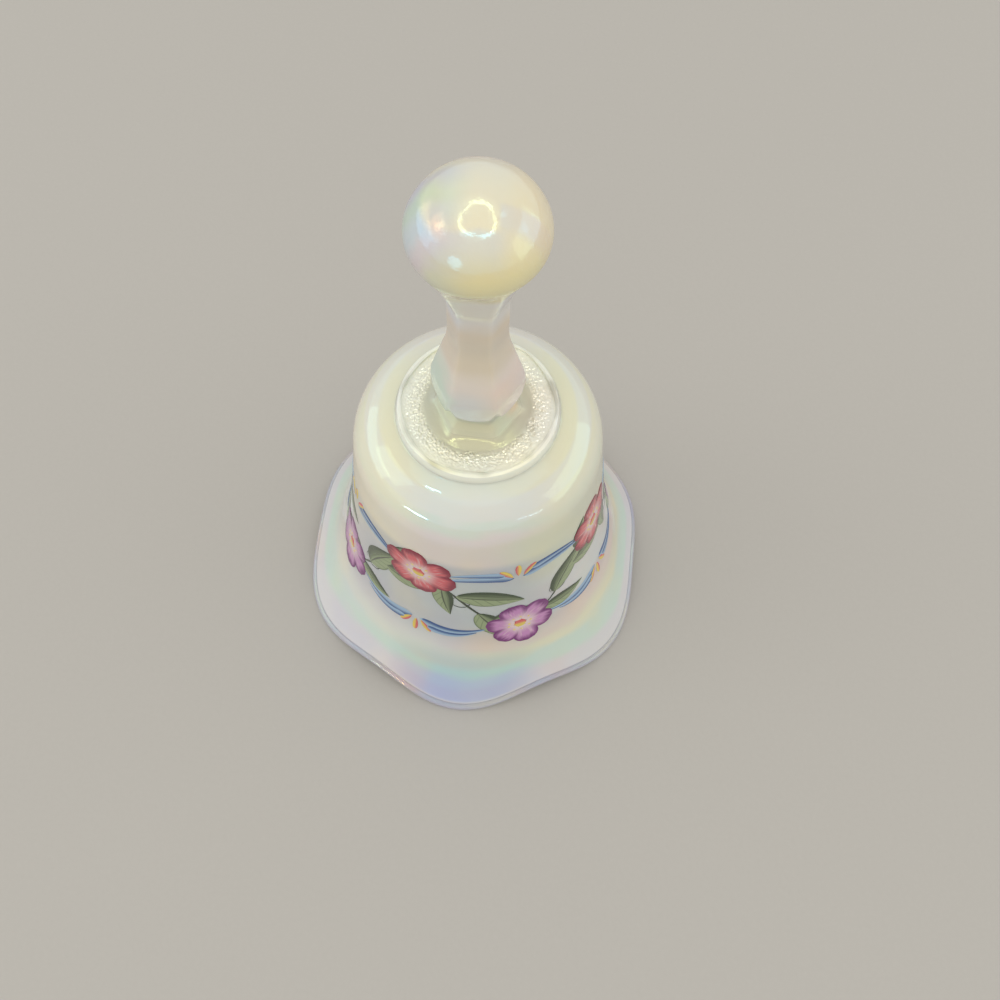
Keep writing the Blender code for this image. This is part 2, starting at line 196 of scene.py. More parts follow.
class GarlandSizes(bpy.types.PropertyGroup):
    """Layout of the painted garland."""

    waves: count("Waves", "Number of waves in the vine round the bell", 4)
    middle: length("Middle", "Height of the vine's middle line", 47.0)
    swing: length("Swing", "How far the vine swings up and down", 12.5)
    start: turn("Start", "Direction of one of the vine's crests", -117)
    flower_radius: length("Flower radius", "Radius of a flower", 10.5)
    petals: count("Petals", "Number of petals of a flower", 6)
    petal_width: length("Petal width", "Half the width of a petal", 3.9)
    leaf_length: length("Leaf length", "Length of a leaf", 20.0)
    leaf_width: length("Leaf width", "Half the width of a leaf", 4.5)
    vine_width: length("Vine width", "Half the width of the vine's line", 0.32)
    scroll_length: length("Scroll length", "Length of a blue stroke", 21.0)
    scroll_width: length("Scroll width", "Half the width of a blue stroke", 1.65)
    bud_length: length("Bud length", "Length of a yellow bud", 5.6)
    paint_height: length("Paint height", "How far the enamel stands on the glass", 0.09)
    seed: count("Seed", "Starts the small differences between the strokes", 11)


class FinishColours(bpy.types.PropertyGroup):
    """Colours of the glass, its film, the enamels, the wire and the cement, with the glass's
    painted shade and painted reflection.
    """

    cream: tint("Cream", "Opal glass on the shoulder", 0.88, 0.84, 0.68)
    milk: tint("Milk", "Opal glass inside the bell", 0.85, 0.83, 0.77)
    # Greige and tan are partly painted shade: the neck's glass is darkened for the shade on its
    # upright sides.
    greige: tint("Greige", "Opal glass of the upper neck", 0.72, 0.70, 0.725)
    tan: tint("Tan", "Opal glass of the lower neck", 0.73, 0.62, 0.52)
    dusk: tint("Dusk", "Opal glass of the knop's lower edge", 0.71, 0.69, 0.67)
    # Painted shade: this darker glass stands for the shade on the foot, on the waist and on the
    # disc round the foot.
    foot_shade: tint("Shade", "Opal glass of the foot", 0.58, 0.55, 0.46)
    ivory_glass: tint("Ivory glass", "Opal glass of the disc", 0.94, 0.91, 0.80)
    pearl: tint("Pearl", "Film between the coloured bands", 0.85, 0.835, 0.79)
    knob_cream: tint("Knob cream", "Opal glass of the knob", 0.75, 0.69, 0.59)
    rose: tint("Rose", "Pink bands of the film", 0.86, 0.77, 0.77)
    blush: tint("Blush", "Tan pink band under the shoulder", 0.84, 0.74, 0.68)
    primrose: tint("Primrose", "Yellow bands of the film", 0.86, 0.82, 0.64)
    apricot: tint("Apricot", "Opal glass on the right of the knob", 0.82, 0.70, 0.50)
    # Honey is partly the film's colour and partly a painted reflection on the knob's underside.
    honey: tint("Honey", "Film on the underside of the knob", 0.81, 0.71, 0.43)
    # Painted shade: this darker glass stands for the shade in the hollows of the stippling.
    pit_shade_colour: tint("Pitted", "Glass in the pits of the stippling", 0.70, 0.64, 0.46)
    mint: tint("Mint", "Green bands of the film", 0.69, 0.82, 0.7)
    sky: tint("Sky", "Blue bands of the film", 0.74, 0.81, 0.84)
    lavender: tint("Lavender", "Violet film on the front lobe", 0.52, 0.54, 0.77)
    azure: tint("Azure", "Blue film above the violet one", 0.51, 0.59, 0.80)
    aqua: tint("Aqua", "Green film above the blue one", 0.50, 0.72, 0.74)
    sea: tint("Sea", "Grey green film above the front lobe", 0.58, 0.67, 0.65)
    opaline: tint("Opaline", "Pale violet band beside the rim", 0.77, 0.74, 0.79)
    seafoam: tint("Seafoam", "Green band of the skirt", 0.68, 0.80, 0.75)
    peach: tint("Peach", "Orange band of the skirt", 0.85, 0.70, 0.65)
    shell: tint("Shell", "Pink band at the top of the skirt", 0.80, 0.64, 0.62)
    moon: tint("Moon", "Blue white film on the left of the skirt", 0.74, 0.76, 0.81)
    # Painted shade: this darker blue grey on the front of the wall stands for shade there, not for
    # a film.
    front_shade: tint("Mist", "Blue grey film on the front of the wall", 0.51, 0.52, 0.58)
    celery: tint("Celery", "Yellow green film right under the shoulder", 0.75, 0.78, 0.61)
    coral: tint("Coral", "Light enamel of the red petals", 0.74, 0.13, 0.16)
    crimson: tint("Crimson", "Dark enamel of the red petals", 0.27, 0.004, 0.04)
    lilac: tint("Lilac", "Light enamel of the violet petals", 0.62, 0.28, 0.60)
    plum: tint("Plum", "Dark enamel of the violet petals", 0.19, 0.02, 0.19)
    petal_white: tint("Petal white", "Enamel at the petals' bases", 0.86, 0.72, 0.74)
    sage: tint("Sage", "Light enamel of the leaves", 0.33, 0.42, 0.23)
    moss: tint("Moss", "Dark enamel of the leaves", 0.03, 0.06, 0.02)
    ink: tint("Ink", "Enamel of the vine and the veins", 0.02, 0.03, 0.016)
    ribbon: tint("Ribbon", "Light enamel of the blue strokes", 0.36, 0.54, 0.76)
    cobalt: tint("Cobalt", "Dark enamel of the blue strokes", 0.04, 0.11, 0.32)
    lemon: tint("Lemon", "Enamel of the buds", 0.86, 0.68, 0.12)
    ivory: tint("Ivory", "Enamel of the dots", 0.90, 0.82, 0.58)
    steel: tint("Steel", "Plating of the wire", 0.74, 0.73, 0.70)
    cement: tint("Cement", "Cement in the crown", 0.78, 0.76, 0.70)
    floor: tint("Floor", "Floor of the stage", 0.58, 0.57, 0.55)
    backdrop: tint("Backdrop", "Sky of the stage", 0.82, 0.81, 0.79)


class StageSettings(bpy.types.PropertyGroup):
    """Place of the camera and level of the lamps."""

    camera_distance: length("Camera distance", "How far in front of the axis it stands", 122.0)
    camera_height: length("Camera height", "How high the camera stands", 305.2)
    camera_pitch: turn("Camera pitch", "How far the camera looks down", 65.5)
    camera_lens: share("Camera lens", "Focal length, in millimetres on a 36 mm sensor", 36.0)
    camera_shift: share("Camera shift", "Sideways shift, in frame widths", 0.022)
    lamp_level: share("Lamp level", "Strength of all lamps together", 1.0)
    sky_level: share("Sky level", "Strength of the even light from all round", 0.70)
    floor_size: length("Floor size", "Half the width of the floor", 3000.0)


SETTINGS = (
    ("bell_sizes", BellSizes),
    ("handle_sizes", HandleSizes),
    ("wire_sizes", WireSizes),
    ("garland_sizes", GarlandSizes),
    ("finish_colours", FinishColours),
    ("stage_settings", StageSettings),
)


class Socket:
    """A node's output, on which Python's arithmetic adds Math nodes."""

    def __init__(self, finish, output):
        self.finish = finish
        self.output = output

    def __add__(self, other):
        return self.finish.maths("ADD", self, other)

    def __radd__(self, other):
        return self.finish.maths("ADD", other, self)

    def __sub__(self, other):
        return self.finish.maths("SUBTRACT", self, other)

    def __rsub__(self, other):
        return self.finish.maths("SUBTRACT", other, self)

    def __mul__(self, other):
        return self.finish.maths("MULTIPLY", self, other)

    def __rmul__(self, other):
        return self.finish.maths("MULTIPLY", other, self)

    def __pow__(self, other):
        return self.finish.maths("POWER", self, other)

    def __abs__(self):
        return self.finish.maths("ABSOLUTE", self)


class Finish:
    """A node tree that is filled node by node."""

    def __init__(self, tree):
        self.tree = tree
        self.tree.nodes.clear()

    def node(self, kind, settings=None, inputs=None, output=0):
        """Add a node, give it its settings and then its inputs, and return one of its outputs."""
        node = self.tree.nodes.new(kind)
        for name, value in (settings or {}).items():
            if name == "stops":
                self.set_stops(node.color_ramp, value)
            else:
                setattr(node, name, value)
        for name, value in (inputs or {}).items():
            if isinstance(value, Socket):
                self.tree.links.new(value.output, node.inputs[name])
            else:
                node.inputs[name].default_value = value
        return Socket(self, node.outputs[output]) if node.outputs else None

    def set_stops(self, ramp, stops):
        """Give a colour ramp its stops, each a position and a colour."""
        ramp.interpolation = "EASE"
        while len(ramp.elements) < len(stops):
            ramp.elements.new(1.0)
        for element, (position, colour) in zip(ramp.elements, stops):
            element.position = position
            element.color = (*colour, 1.0)

    def maths(self, operation, *values):
        """Return the result of a Math node."""
        return self.node("ShaderNodeMath", {"operation": operation}, dict(enumerate(values)))

    def place(self):
        """Return the point's place on the object."""
        return self.node("ShaderNodeTexCoord", output="Object")

    def axes(self, vector):
        """Return a vector's x, y and z."""
        first = self.node("ShaderNodeSeparateXYZ", inputs={0: vector})
        return [Socket(self, output) for output in first.output.node.outputs]

    def attribute(self, name):
        """Return a number that the piece carries at each of its points."""
        return self.node("ShaderNodeAttribute", {"attribute_name": name}, output="Fac")

    def clouds(self, vector, size, detail=2.0):
        """Return soft noise from 0 to 1, with clouds of about a size."""
        inputs = {"Vector": vector, "Scale": 1 / size, "Detail": detail}
        return self.node("ShaderNodeTexNoise", inputs=inputs)

    def stretched(self, vector, scale):
        """Return a vector with each axis scaled."""
        return self.node("ShaderNodeMapping", inputs={"Vector": vector, "Scale": scale})

    def joined(self, x, y, z):
        """Return a vector made of three numbers."""
        return self.node("ShaderNodeCombineXYZ", inputs={0: x, 1: y, 2: z})

    def larger(self, first, *others):
        """Return the largest of some values."""
        for other in others:
            first = self.maths("MAXIMUM", first, other)
        return first

    def rise(self, value, start, end):
        """Return 0 before start, 1 after end, and a smooth rise between."""
        settings = {"interpolation_type": "SMOOTHSTEP"}
        inputs = {"Value": value, "From Min": start, "From Max": end}
        return self.node("ShaderNodeMapRange", settings, inputs)

    def fall(self, value, start, end):
        """Return 1 before start, 0 after end, and a smooth fall between."""
        return 1 - self.rise(value, start, end)

    def within(self, value, start, full, last, end):
        """Return 1 from full to last, 0 before start and after end, and smooth slopes between."""
        return self.rise(value, start, full) * self.fall(value, last, end)

    def bands(self, distance, bands):
        """Return a distance's colour in bands, each given as its millimetres and its colour."""
        first = bands[0][0]
        span = bands[-1][0] - first
        stops = [((millimetre - first) / span, colour) for millimetre, colour in bands]
        inputs = {"Fac": (distance - first * MM) * (1 / (span * MM))}
        return self.node("ShaderNodeValToRGB", {"stops": stops}, inputs)

    def mixed(self, factor, first, second):
        """Return a mix of two colours."""
        inputs = {0: factor}
        for index, colour in ((6, first), (7, second)):
            inputs[index] = colour if isinstance(colour, Socket) else (*colour, 1.0)
        return self.node("ShaderNodeMix", {"data_type": "RGBA"}, inputs, output=2)

    def layered(self, colour, *layers):
        """Return a colour with layers laid over it, each a share and its colour."""
        for part, over in layers:
            colour = self.mixed(part, colour, over)
        return colour

    def bump(self, height, depth, under=None):
        """Return the normal of a surface whose height varies by a depth."""
        inputs = {"Height": height, "Distance": depth}
        if under:
            inputs["Normal"] = under
        return self.node("ShaderNodeBump", inputs=inputs)

    def principled(self, **inputs):
        """Return a Principled shader, with each input's name in lower case with underscores."""
        named = {}
        for name, value in inputs.items():
            named[name.replace("_", " ").title().replace("Ior", "IOR")] = value
        return self.node("ShaderNodeBsdfPrincipled", inputs=named)

    def mixed_shaders(self, factor, first, second):
        """Return a mix of two shaders."""
        return self.node("ShaderNodeMixShader", inputs={0: factor, 1: first, 2: second})

    def close(self, shader, kind="ShaderNodeOutputMaterial"):
        """Send a shader to the output of a material or of the world."""
        self.node(kind, inputs={"Surface": shader})


def new_finish(name):
    """Return a new material and the finish that fills its nodes."""
    material = bpy.data.materials.new(name)
    material.use_nodes = True
    return material, Finish(material.node_tree)


def toned(part, *colours):
    """Return one or more colours added up, with each channel times a part."""
    return tuple(part * sum(channel) for channel in zip(*colours))


FILM_IOR = 1.8
GLASS_IOR = 1.5
# Thicknesses of the film in nanometres, each named for the colour that it gives.
BLUE_FILM = 196.0
GOLD_FILM = 233.0
ROSE_FILM = 272.0
OPAL_GLASS = {
    "ior": GLASS_IOR,
    "subsurface_weight": 0.45,
    "subsurface_radius": (1.0, 0.95, 0.85),
    "subsurface_scale": 3.5 * MM,
}


def drifting(finish, place):
    """Return the shares of golden and of rosy film where its thickness drifts freely."""
    golden = finish.rise(finish.clouds(place, 26 * MM, 1.0), 0.36, 0.60)
    rosy = finish.rise(finish.clouds(finish.stretched(place, (1, 1, -1)), 20 * MM, 1.0), 0.46, 0.70)
    return golden, rosy


def pearly(finish, golden, rosy, colour, roughness, normal, lustre=0.0):
    """Return the shader of opal glass under a film that is golden, rosy, or else blue."""

    def coated(thickness):
        return finish.principled(
            base_color=colour,
            metallic=lustre,
            roughness=roughness,
            normal=normal,
            thin_film_thickness=thickness,
            thin_film_ior=FILM_IOR,
            **OPAL_GLASS,
        )

    cool = finish.mixed_shaders(golden, coated(BLUE_FILM), coated(GOLD_FILM))
    return finish.mixed_shaders(rosy, cool, coated(ROSE_FILM))


def bell_colour(finish, colours, place, at_side, on_shoulder):
    """Return the colour of the bell's film, laid out by height over the rim and by side, with
    painted shade on the front of the wall and in the groove above the rim.
    """
    level = finish.attribute("level")
    x, y = finish.axes(place)[:2]
    drift = finish.clouds(place, 34 * MM, 1.0) - 0.5
    ripple = finish.clouds(finish.stretched(place, (1, 1, 2.5)), 12 * MM, 1.0) - 0.5

    off_rim = finish.rise(level, 5 * MM, 10 * MM)
    outer = finish.rise(abs(x), 38 * MM, 52 * MM) * (4 * MM)
    wavy = off_rim * (drift * (9 * MM) + ripple * (4 * MM) + outer)
    loose = finish.rise(level, 30 * MM, 44 * MM) * (1 - 0.85 * finish.rise(level, 52 * MM, 78 * MM))
    height = level + wavy + loose * (drift * (37 * MM) + ripple * (5 * MM) + x * 0.10)
    lip = toned(0.38, colours.rose, colours.lavender)
    banded = finish.bands(height, (
        (0.0, lip),
        (3.5, lip),
        # Painted shade: this darker stop darkens the groove above the rim's bead.
        (4.0, toned(0.33, colours.rose, colours.lavender)),
        (4.6, colours.opaline),
        (8.0, colours.opaline),
        (12.5, colours.seafoam),
        (15.5, colours.seafoam),
        (19.5, colours.primrose),
        (25.0, colours.peach),
        (30.0, colours.shell),
        (37.0, colours.sky),
        (46.0, colours.rose),
        (54.0, colours.pearl),
        (62.0, colours.sky),
        (69.0, colours.blush),
        (77.0, colours.blush),
        (80.5, colours.rose),
        (84.0, toned(0.5, colours.pearl, colours.mint)),
        (86.5, colours.pearl),
        (90.0, colours.cream),
        (95.0, colours.cream),
    ))
    lobe_film = finish.bands(level + ripple * (2 * MM), (
        (4.6, colours.lavender),
        (7.0, colours.lavender),
        (10.0, colours.azure),
        (13.5, colours.aqua),
        (17.0, colours.sea),
        (25.0, colours.sea),
    ))

    whitened = finish.within(level, 30 * MM, 38 * MM, 52 * MM, 64 * MM)
    on_skirt = finish.within(level, 12 * MM, 20 * MM, 32 * MM, 42 * MM)
    on_wall = finish.within(level, 50 * MM, 60 * MM, 78 * MM, 84 * MM)
    in_middle = finish.within(level, 18 * MM, 38 * MM, 66 * MM, 70.5 * MM)
    by_rim = finish.within(level, 4.2 * MM, 5.2 * MM, 16 * MM, 25 * MM)
    at_left = finish.fall(x + drift * (20 * MM), -16 * MM, 6 * MM)
    at_right = finish.rise(x, 1 * MM, 14 * MM)
    # The front of the wall between the middle levels is darkened with painted shade.
    shaded_front = finish.rise(y * -1.0 - x * 0.35, 14 * MM, 34 * MM)
    on_lobe = finish.rise(finish.attribute("swell") + drift * 0.5, 0.45, 0.95)
    milky = finish.clouds(place, 16 * MM, 3.0) * finish.rise(level, 6 * MM, 16 * MM)
    return finish.layered(
        banded,
        (whitened * 0.3, colours.pearl),
        (on_skirt * at_left * 0.7, colours.moon),
        (on_wall * at_side * 0.5, colours.primrose),
        (on_wall * at_right * 0.75, colours.celery),
        (on_shoulder * at_side * 0.7, colours.cream),
        (shaded_front * in_middle * 0.9, colours.front_shade),
        (on_lobe * by_rim, lobe_film),
        (milky * 0.3, colours.cream),
    )


def bell_finish(colours):
    """Return the bell's opal glass: pearly all over, with the film's colours on its outside."""
    material, finish = new_finish("pearly_bell_glass")
    place = finish.place()
    at_side = finish.rise(abs(finish.axes(place)[0]), 10 * MM, 22 * MM)
    on_shoulder = finish.rise(finish.attribute("level"), 74 * MM, 86 * MM)
    outside = bell_colour(finish, colours, place, at_side, on_shoulder)
    colour = finish.mixed(finish.attribute("film"), colours.milk, outside)

    wave = finish.clouds(place, 7 * MM, 1.0)
    skin = finish.clouds(place, 0.8 * MM, 2.0)
    normal = finish.bump(skin, 0.004 * MM, finish.bump(wave, 0.07 * MM))
    roughness = 0.035 + finish.clouds(place, 9 * MM, 3.0) * 0.05

    golden, rosy = drifting(finish, place)
    golden = finish.larger(golden * (1 - on_shoulder), on_shoulder * at_side)
    rosy = rosy * (1 - on_shoulder * 0.8)
    finish.close(pearly(finish, golden, rosy, colour, roughness, normal))
    return material


def handle_colour(finish, colours, place, ripple, zones):
    """Return the colour of the handle's glass by height, with a coloured film on some sides,
    painted shade on the neck, on the foot and round it, and in the stipples' pits, and a painted
    reflection under the knob.
    """
    x, y, z = finish.axes(place)
    glass = finish.bands(z + ripple * (3 * MM), (
        (93.0, colours.ivory_glass),
        (93.65, colours.ivory_glass),
        # From here up to 100 mm the foot and the waist are darkened with painted shade.
        (94.2, colours.foot_shade),
        (100.0, colours.foot_shade),
        (103.0, colours.dusk),
        (109.0, colours.dusk),
        (115.0, toned(0.95, colours.blush)),
        # The neck's tan and greige are darkened in part as painted shade.
        (121.0, colours.tan),
        (131.0, colours.tan),
        (136.0, colours.greige),
        (146.5, colours.greige),
        (150.5, colours.knob_cream),
        (170.0, colours.knob_cream),
    ))
    film = finish.bands(y + ripple * (5 * MM), (
        (-12.0, toned(0.80, colours.primrose)),
        (-8.5, toned(0.80, colours.rose)),
        (-4.5, toned(0.80, colours.sky)),
        (-0.5, toned(0.80, colours.mint)),
        (3.5, toned(0.40, colours.pearl, colours.lavender)),
        (8.0, toned(0.80, colours.cream)),
        (14.0, toned(0.80, colours.rose)),
    ))

    on_knob = zones["knob"]
    on_knop = finish.within(z, 100 * MM, 103 * MM, 113 * MM, 121 * MM)
    # Painted reflection: the knob's underside, up to a level that slants towards the front, is laid
    # over with honey.
    under = finish.fall(zones["from_below"], 150 * MM, 160 * MM)
    right_of_knob = finish.rise(x, 3 * MM, 10 * MM)
    left_of_knob = finish.fall(x + ripple * (4 * MM), -9.0 * MM, 0.5 * MM)
    left_edge = finish.fall(x + ripple * (5 * MM), -8.5 * MM, -5 * MM)
    right_edge = finish.rise(x + ripple * (5 * MM), 2 * MM, 7 * MM)
    # Painted shade on the disc round the foot.
    shade_by_foot = finish.fall(zones["radius"] + ripple * (2 * MM), 12.2 * MM, 15.2 * MM)
    return finish.layered(
        glass,
        (right_of_knob * on_knob * 0.8, colours.apricot),
        (under * on_knob, colours.honey),
        (left_of_knob * on_knob * 0.95, film),
        (left_edge * on_knop * 0.8, toned(0.89, colours.mint)),
        (right_edge * on_knop * 0.55, colours.shell),
        (shade_by_foot * zones["disc"], colours.foot_shade),
        # Painted shade in the hollows of the stippling.
        (finish.attribute("pit") * 0.25, colours.pit_shade_colour),
    )


def handle_film(finish, place, zones):
    """Return the shares of golden and of rosy film on the handle."""
    x, y, z = finish.axes(place)
    crowned = finish.rise(z + abs(x) * 0.2, 167.3 * MM, 168.1 * MM)
    on_right = finish.rise(x, 2.5 * MM, 6.5 * MM)
    below = finish.fall(zones["from_below"], 149 * MM, 152.5 * MM)
    in_patch = finish.within(y, -8.5 * MM, -6.5 * MM, -4.0 * MM, -3.0 * MM)
    worn = in_patch * finish.rise(x, 3.4 * MM, 4.4 * MM)
    gilded = finish.larger(crowned, on_right, below) * (1 - worn)
    upper_left = finish.fall(x, -8 * MM, -4.5 * MM) * finish.rise(z, 164.5 * MM, 166.5 * MM)

    golden, rosy = drifting(finish, place)
    on_knob = zones["knob"]
    golden = finish.larger(golden * (1 - on_knob), gilded * on_knob)
    rosy = finish.larger(rosy * (1 - on_knob) * (1 - zones["disc"] * 0.6), upper_left * on_knob)
    return golden, rosy


def handle_finish(colours):
    """Return the handle's pearly opal glass, dull on its foot and with lustre in the stippling."""
    material, finish = new_finish("pearly_handle_glass")
    place = finish.place()
    x, y, z = finish.axes(place)
    ripple = finish.clouds(finish.stretched(place, (1, 1, 1.8)), 8 * MM, 1.0) - 0.5
    zones = {
        "knob": finish.rise(z, 148 * MM, 151 * MM),
        "disc": finish.fall(z, 95 * MM, 96 * MM),
        "radius": (x * x + y * y) ** 0.5,
        "from_below": z + y * 0.75 + ripple * (3 * MM),
    }
    colour = handle_colour(finish, colours, place, ripple, zones)

    wave = finish.clouds(place, 6 * MM, 1.0)
    skin = finish.clouds(place, 0.6 * MM, 2.0)
    grain = finish.clouds(place, 0.35 * MM, 2.0) * finish.fall(z, 94.0 * MM, 94.8 * MM)
    relief = finish.bump(skin, 0.02 * MM, finish.bump(wave, 0.10 * MM))
    normal = finish.bump(grain, 0.02 * MM, relief)
    on_foot = finish.within(z, 94.2 * MM, 95.0 * MM, 100 * MM, 102 * MM)
    on_bead = zones["disc"] * finish.rise(zones["radius"], 18.4 * MM, 19.4 * MM)
    roughness = 0.06 + finish.clouds(place, 8 * MM, 3.0) * 0.08 + on_foot * 0.28 + on_bead * 0.22
    lustre = finish.attribute("stipple") * 0.24

    golden, rosy = handle_film(finish, place, zones)
    finish.close(pearly(finish, golden, rosy, colour, roughness, normal, lustre))
    return material


def ball_finish(colours):
    """Return the clapper's plain opal glass."""
    material, finish = new_finish("clapper_milk_glass")
    place = finish.place()
    cloud = finish.clouds(place, 6 * MM, 3.0)
    seeds = finish.clouds(place, 0.9 * MM, 2.0)
    finish.close(finish.principled(
        base_color=finish.mixed(cloud, colours.milk, colours.cream),
        roughness=0.08 + cloud * 0.08,
        normal=finish.bump(seeds, 0.008 * MM),
        **OPAL_GLASS,
    ))
    return material


def wire_finish(colours):
    """Return plated wire, dulled in patches and drawn along its length."""
    material, finish = new_finish("plated_steel_wire")
    place = finish.place()
    patches = finish.rise(finish.clouds(place, 1.6 * MM, 3.0), 0.45, 0.75)
    scratches = finish.clouds(finish.stretched(place, (6, 6, 1)), 0.5 * MM, 2.0)
    finish.close(finish.principled(
        base_color=finish.mixed(patches * 0.6, colours.steel, toned(0.62, colours.steel)),
        metallic=1.0,
        roughness=0.18 + patches * 0.22 + scratches * 0.08,
        normal=finish.bump(scratches, 0.006 * MM),
    ))
    return material


def cement_finish(colours):
    """Return matt, grainy setting cement."""
    material, finish = new_finish("setting_cement")
    place = finish.place()
    grains = finish.clouds(place, 0.35 * MM, 4.0)
    stains = finish.rise(finish.clouds(place, 2.2 * MM, 2.0), 0.4, 0.8)
    finish.close(finish.principled(
        base_color=finish.mixed(stains, colours.cement, toned(0.72, colours.cement)),
        roughness=0.78 + grains * 0.18,
        normal=finish.bump(grains, 0.05 * MM),
    ))
    return material


class Enamel(Finish):
    """The finish of a fired enamel, which varies along and across each stroke of the brush."""

    def __init__(self, name):
        self.material = bpy.data.materials.new(name)
        self.material.use_nodes = True
        super().__init__(self.material.node_tree)
        self.along = self.attribute("along")
        self.across = self.attribute("across")
        self.tone = self.attribute("tone")
        path = self.joined(self.along * 1.2, self.across * 5.0, self.tone * 13.0)
        self.streaks = self.clouds(path, 1.0, 3.0)

    def fired(self, colour):
        """Return the material of the enamel in a colour, with the brush's hairs in its surface."""
        path = self.joined(self.along * 1.5, self.across * 7.0, self.tone * 9.0)
        hairs = self.clouds(path, 1.0, 2.0)
        self.close(self.principled(
            base_color=colour,
            roughness=0.16 + hairs * 0.12,
            normal=self.bump(hairs, 0.02 * MM),
            ior=GLASS_IOR,
            coat_weight=0.3,
            coat_roughness=0.08,
        ))
        return self.material


def petal_finish(name, colours, light, dark):
    """Return the enamel of a petal: pale at its base, and darkest round its end."""
    enamel = Enamel(name)
    along = enamel.along
    streaks = enamel.streaks
    edge = enamel.rise(abs(enamel.across) + streaks * 0.45, 0.72, 1.12)
    side = edge * enamel.rise(along, 0.15, 0.6)
    end = enamel.rise(along + streaks * 0.34, 0.76, 1.08)
    body = enamel.mixed(enamel.rise(along + streaks * 0.4, 0.22, 0.72), colours.petal_white, light)
    glint = enamel.rise(streaks, 0.52, 0.68) * enamel.fall(along, 0.55, 0.9)
    return enamel.fired(enamel.layered(
        body,
        (glint * 0.5, colours.petal_white),
        (enamel.larger(side, end), dark),
    ))


def leaf_finish(colours):
    """Return the enamel of a leaf: one half shaded, with a vein along its middle."""
    enamel = Enamel("leaf_enamel")
    from_middle = abs(enamel.across)
    shaded = enamel.rise(enamel.across + (enamel.streaks - 0.5) * 1.1, -0.35, 0.85)
    veins = enamel.maths("SINE", enamel.along * 38.0 - from_middle * 9.0)
    side_veins = enamel.rise(veins, 0.75, 1.0) * 0.35
    edge = enamel.rise(from_middle, 0.80, 1.0) * 0.6
    return enamel.fired(enamel.layered(
        enamel.mixed(enamel.larger(shaded, edge, side_veins), colours.sage, colours.moss),
        (enamel.fall(from_middle, 0.03, 0.11) * 0.8, colours.ink),
    ))


def stroke_finish(name, light, dark):
    """Return the enamel of a stroke whose brush held a light and a dark colour side by side."""
    enamel = Enamel(name)
    side = enamel.rise(enamel.across + (enamel.streaks - 0.5) * 1.4, -0.5, 0.7)
    return enamel.fired(enamel.mixed(side, light, dark))


def smooth_share(value):
    """Return 0 below 0, 1 above 1, and a smooth rise between."""
    part = min(max(value, 0.0), 1.0)
    return part * part * (3 - 2 * part)


# The most that an arc turns from one of its points to the next.
ARC_STEP = math.radians(4)
# A corner that turns less than this isn't rounded.
STRAIGHT = math.radians(1)
# The most of a straight piece of an outline that the rounding at one end may take.
ROUNDING_SHARE = 0.48


def arc(centre, radius, start, end):
    """Return points (radius, height) along an arc, both ends included."""
    steps = max(3, math.ceil(abs(end - start) / ARC_STEP))
    angles = [start + (end - start) * i / steps for i in range(steps + 1)]
    return [(centre[0] + radius * math.cos(a), centre[1] + radius * math.sin(a)) for a in angles]


def rounded(corners):
    """Return an outline through corners (radius, height, rounding), each rounded by an arc."""
    points = [corners[0][:2]]
    for before, corner, after in zip(corners, corners[1:], corners[2:]):
        here = Vector(corner[:2])
        back = Vector(before[:2]) - here
        ahead = Vector(after[:2]) - here
        opening = back.angle(ahead)
        reach = corner[2] / math.tan(opening / 2) if corner[2] else 0.0
        reach = min(reach, ROUNDING_SHARE * back.length, ROUNDING_SHARE * ahead.length)
        if reach == 0.0 or math.pi - opening < STRAIGHT:
            points.append(tuple(here))
            continue
        radius = reach * math.tan(opening / 2)
        start = here + back.normalized() * reach
        end = here + ahead.normalized() * reach
        middle = (back.normalized() + ahead.normalized()).normalized()
        centre = here + middle * math.hypot(radius, reach)
        first = math.atan2(start.y - centre.y, start.x - centre.x)
        sweep = math.remainder(math.atan2(end.y - centre.y, end.x - centre.x) - first, math.tau)
        points += arc(centre, radius, first, first + sweep)
    points.append(corners[-1][:2])
    return points


def refined(outline, spacing):
    """Return an outline with points added, so that none lie further apart than a spacing."""
    points = [outline[0]]
    for start, end in zip(outline, outline[1:]):
        gap = math.dist(start, end)
        steps = max(1, math.ceil(gap / spacing))
        for i in range(1, steps + 1):
            part = i / steps
            radius = start[0] + (end[0] - start[0]) * part
            height = start[1] + (end[1] - start[1]) * part
            points.append((radius, height))
    return points


def turned(outline, steps, closed=False):
    """Return the shape of an outline (radius, height), given top to bottom, spun about Z."""
    shape = bmesh.new()
    verts = [shape.verts.new((radius, 0.0, height)) for radius, height in outline]
    pairs = list(zip(verts, verts[1:]))
    if closed:
        pairs.append((verts[-1], verts[0]))
    edges = [shape.edges.new(pair) for pair in pairs]
    bmesh.ops.spin(
        shape,
        geom=verts + edges,
        cent=(0, 0, 0),
        axis=(0, 0, 1),
        angle=math.tau,
        steps=steps,
        use_merge=True,
    )
    bmesh.ops.remove_doubles(shape, verts=shape.verts, dist=WELD)
    bmesh.ops.recalc_face_normals(shape, faces=shape.faces)
    return shape


def only(kind, parts):
    """Return those of a shape's parts that are of one kind."""
    return [part for part in parts if isinstance(part, kind)]


def make_piece(name, shape, material, body, replaced=(), sharp=math.radians(40)):
    """Return a piece made of a shape, riding on its body."""
    mesh = bpy.data.meshes.new(name)
    shape.to_mesh(mesh)
    shape.free()
    mesh.materials.append(material)
    mesh.shade_smooth()
    mesh.set_sharp_from_angle(angle=sharp)
    piece = bpy.data.objects.new(name, mesh)
    bpy.context.scene.collection.objects.link(piece)
    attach(piece, body)
    if replaced:
        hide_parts(*replaced)
    return piece


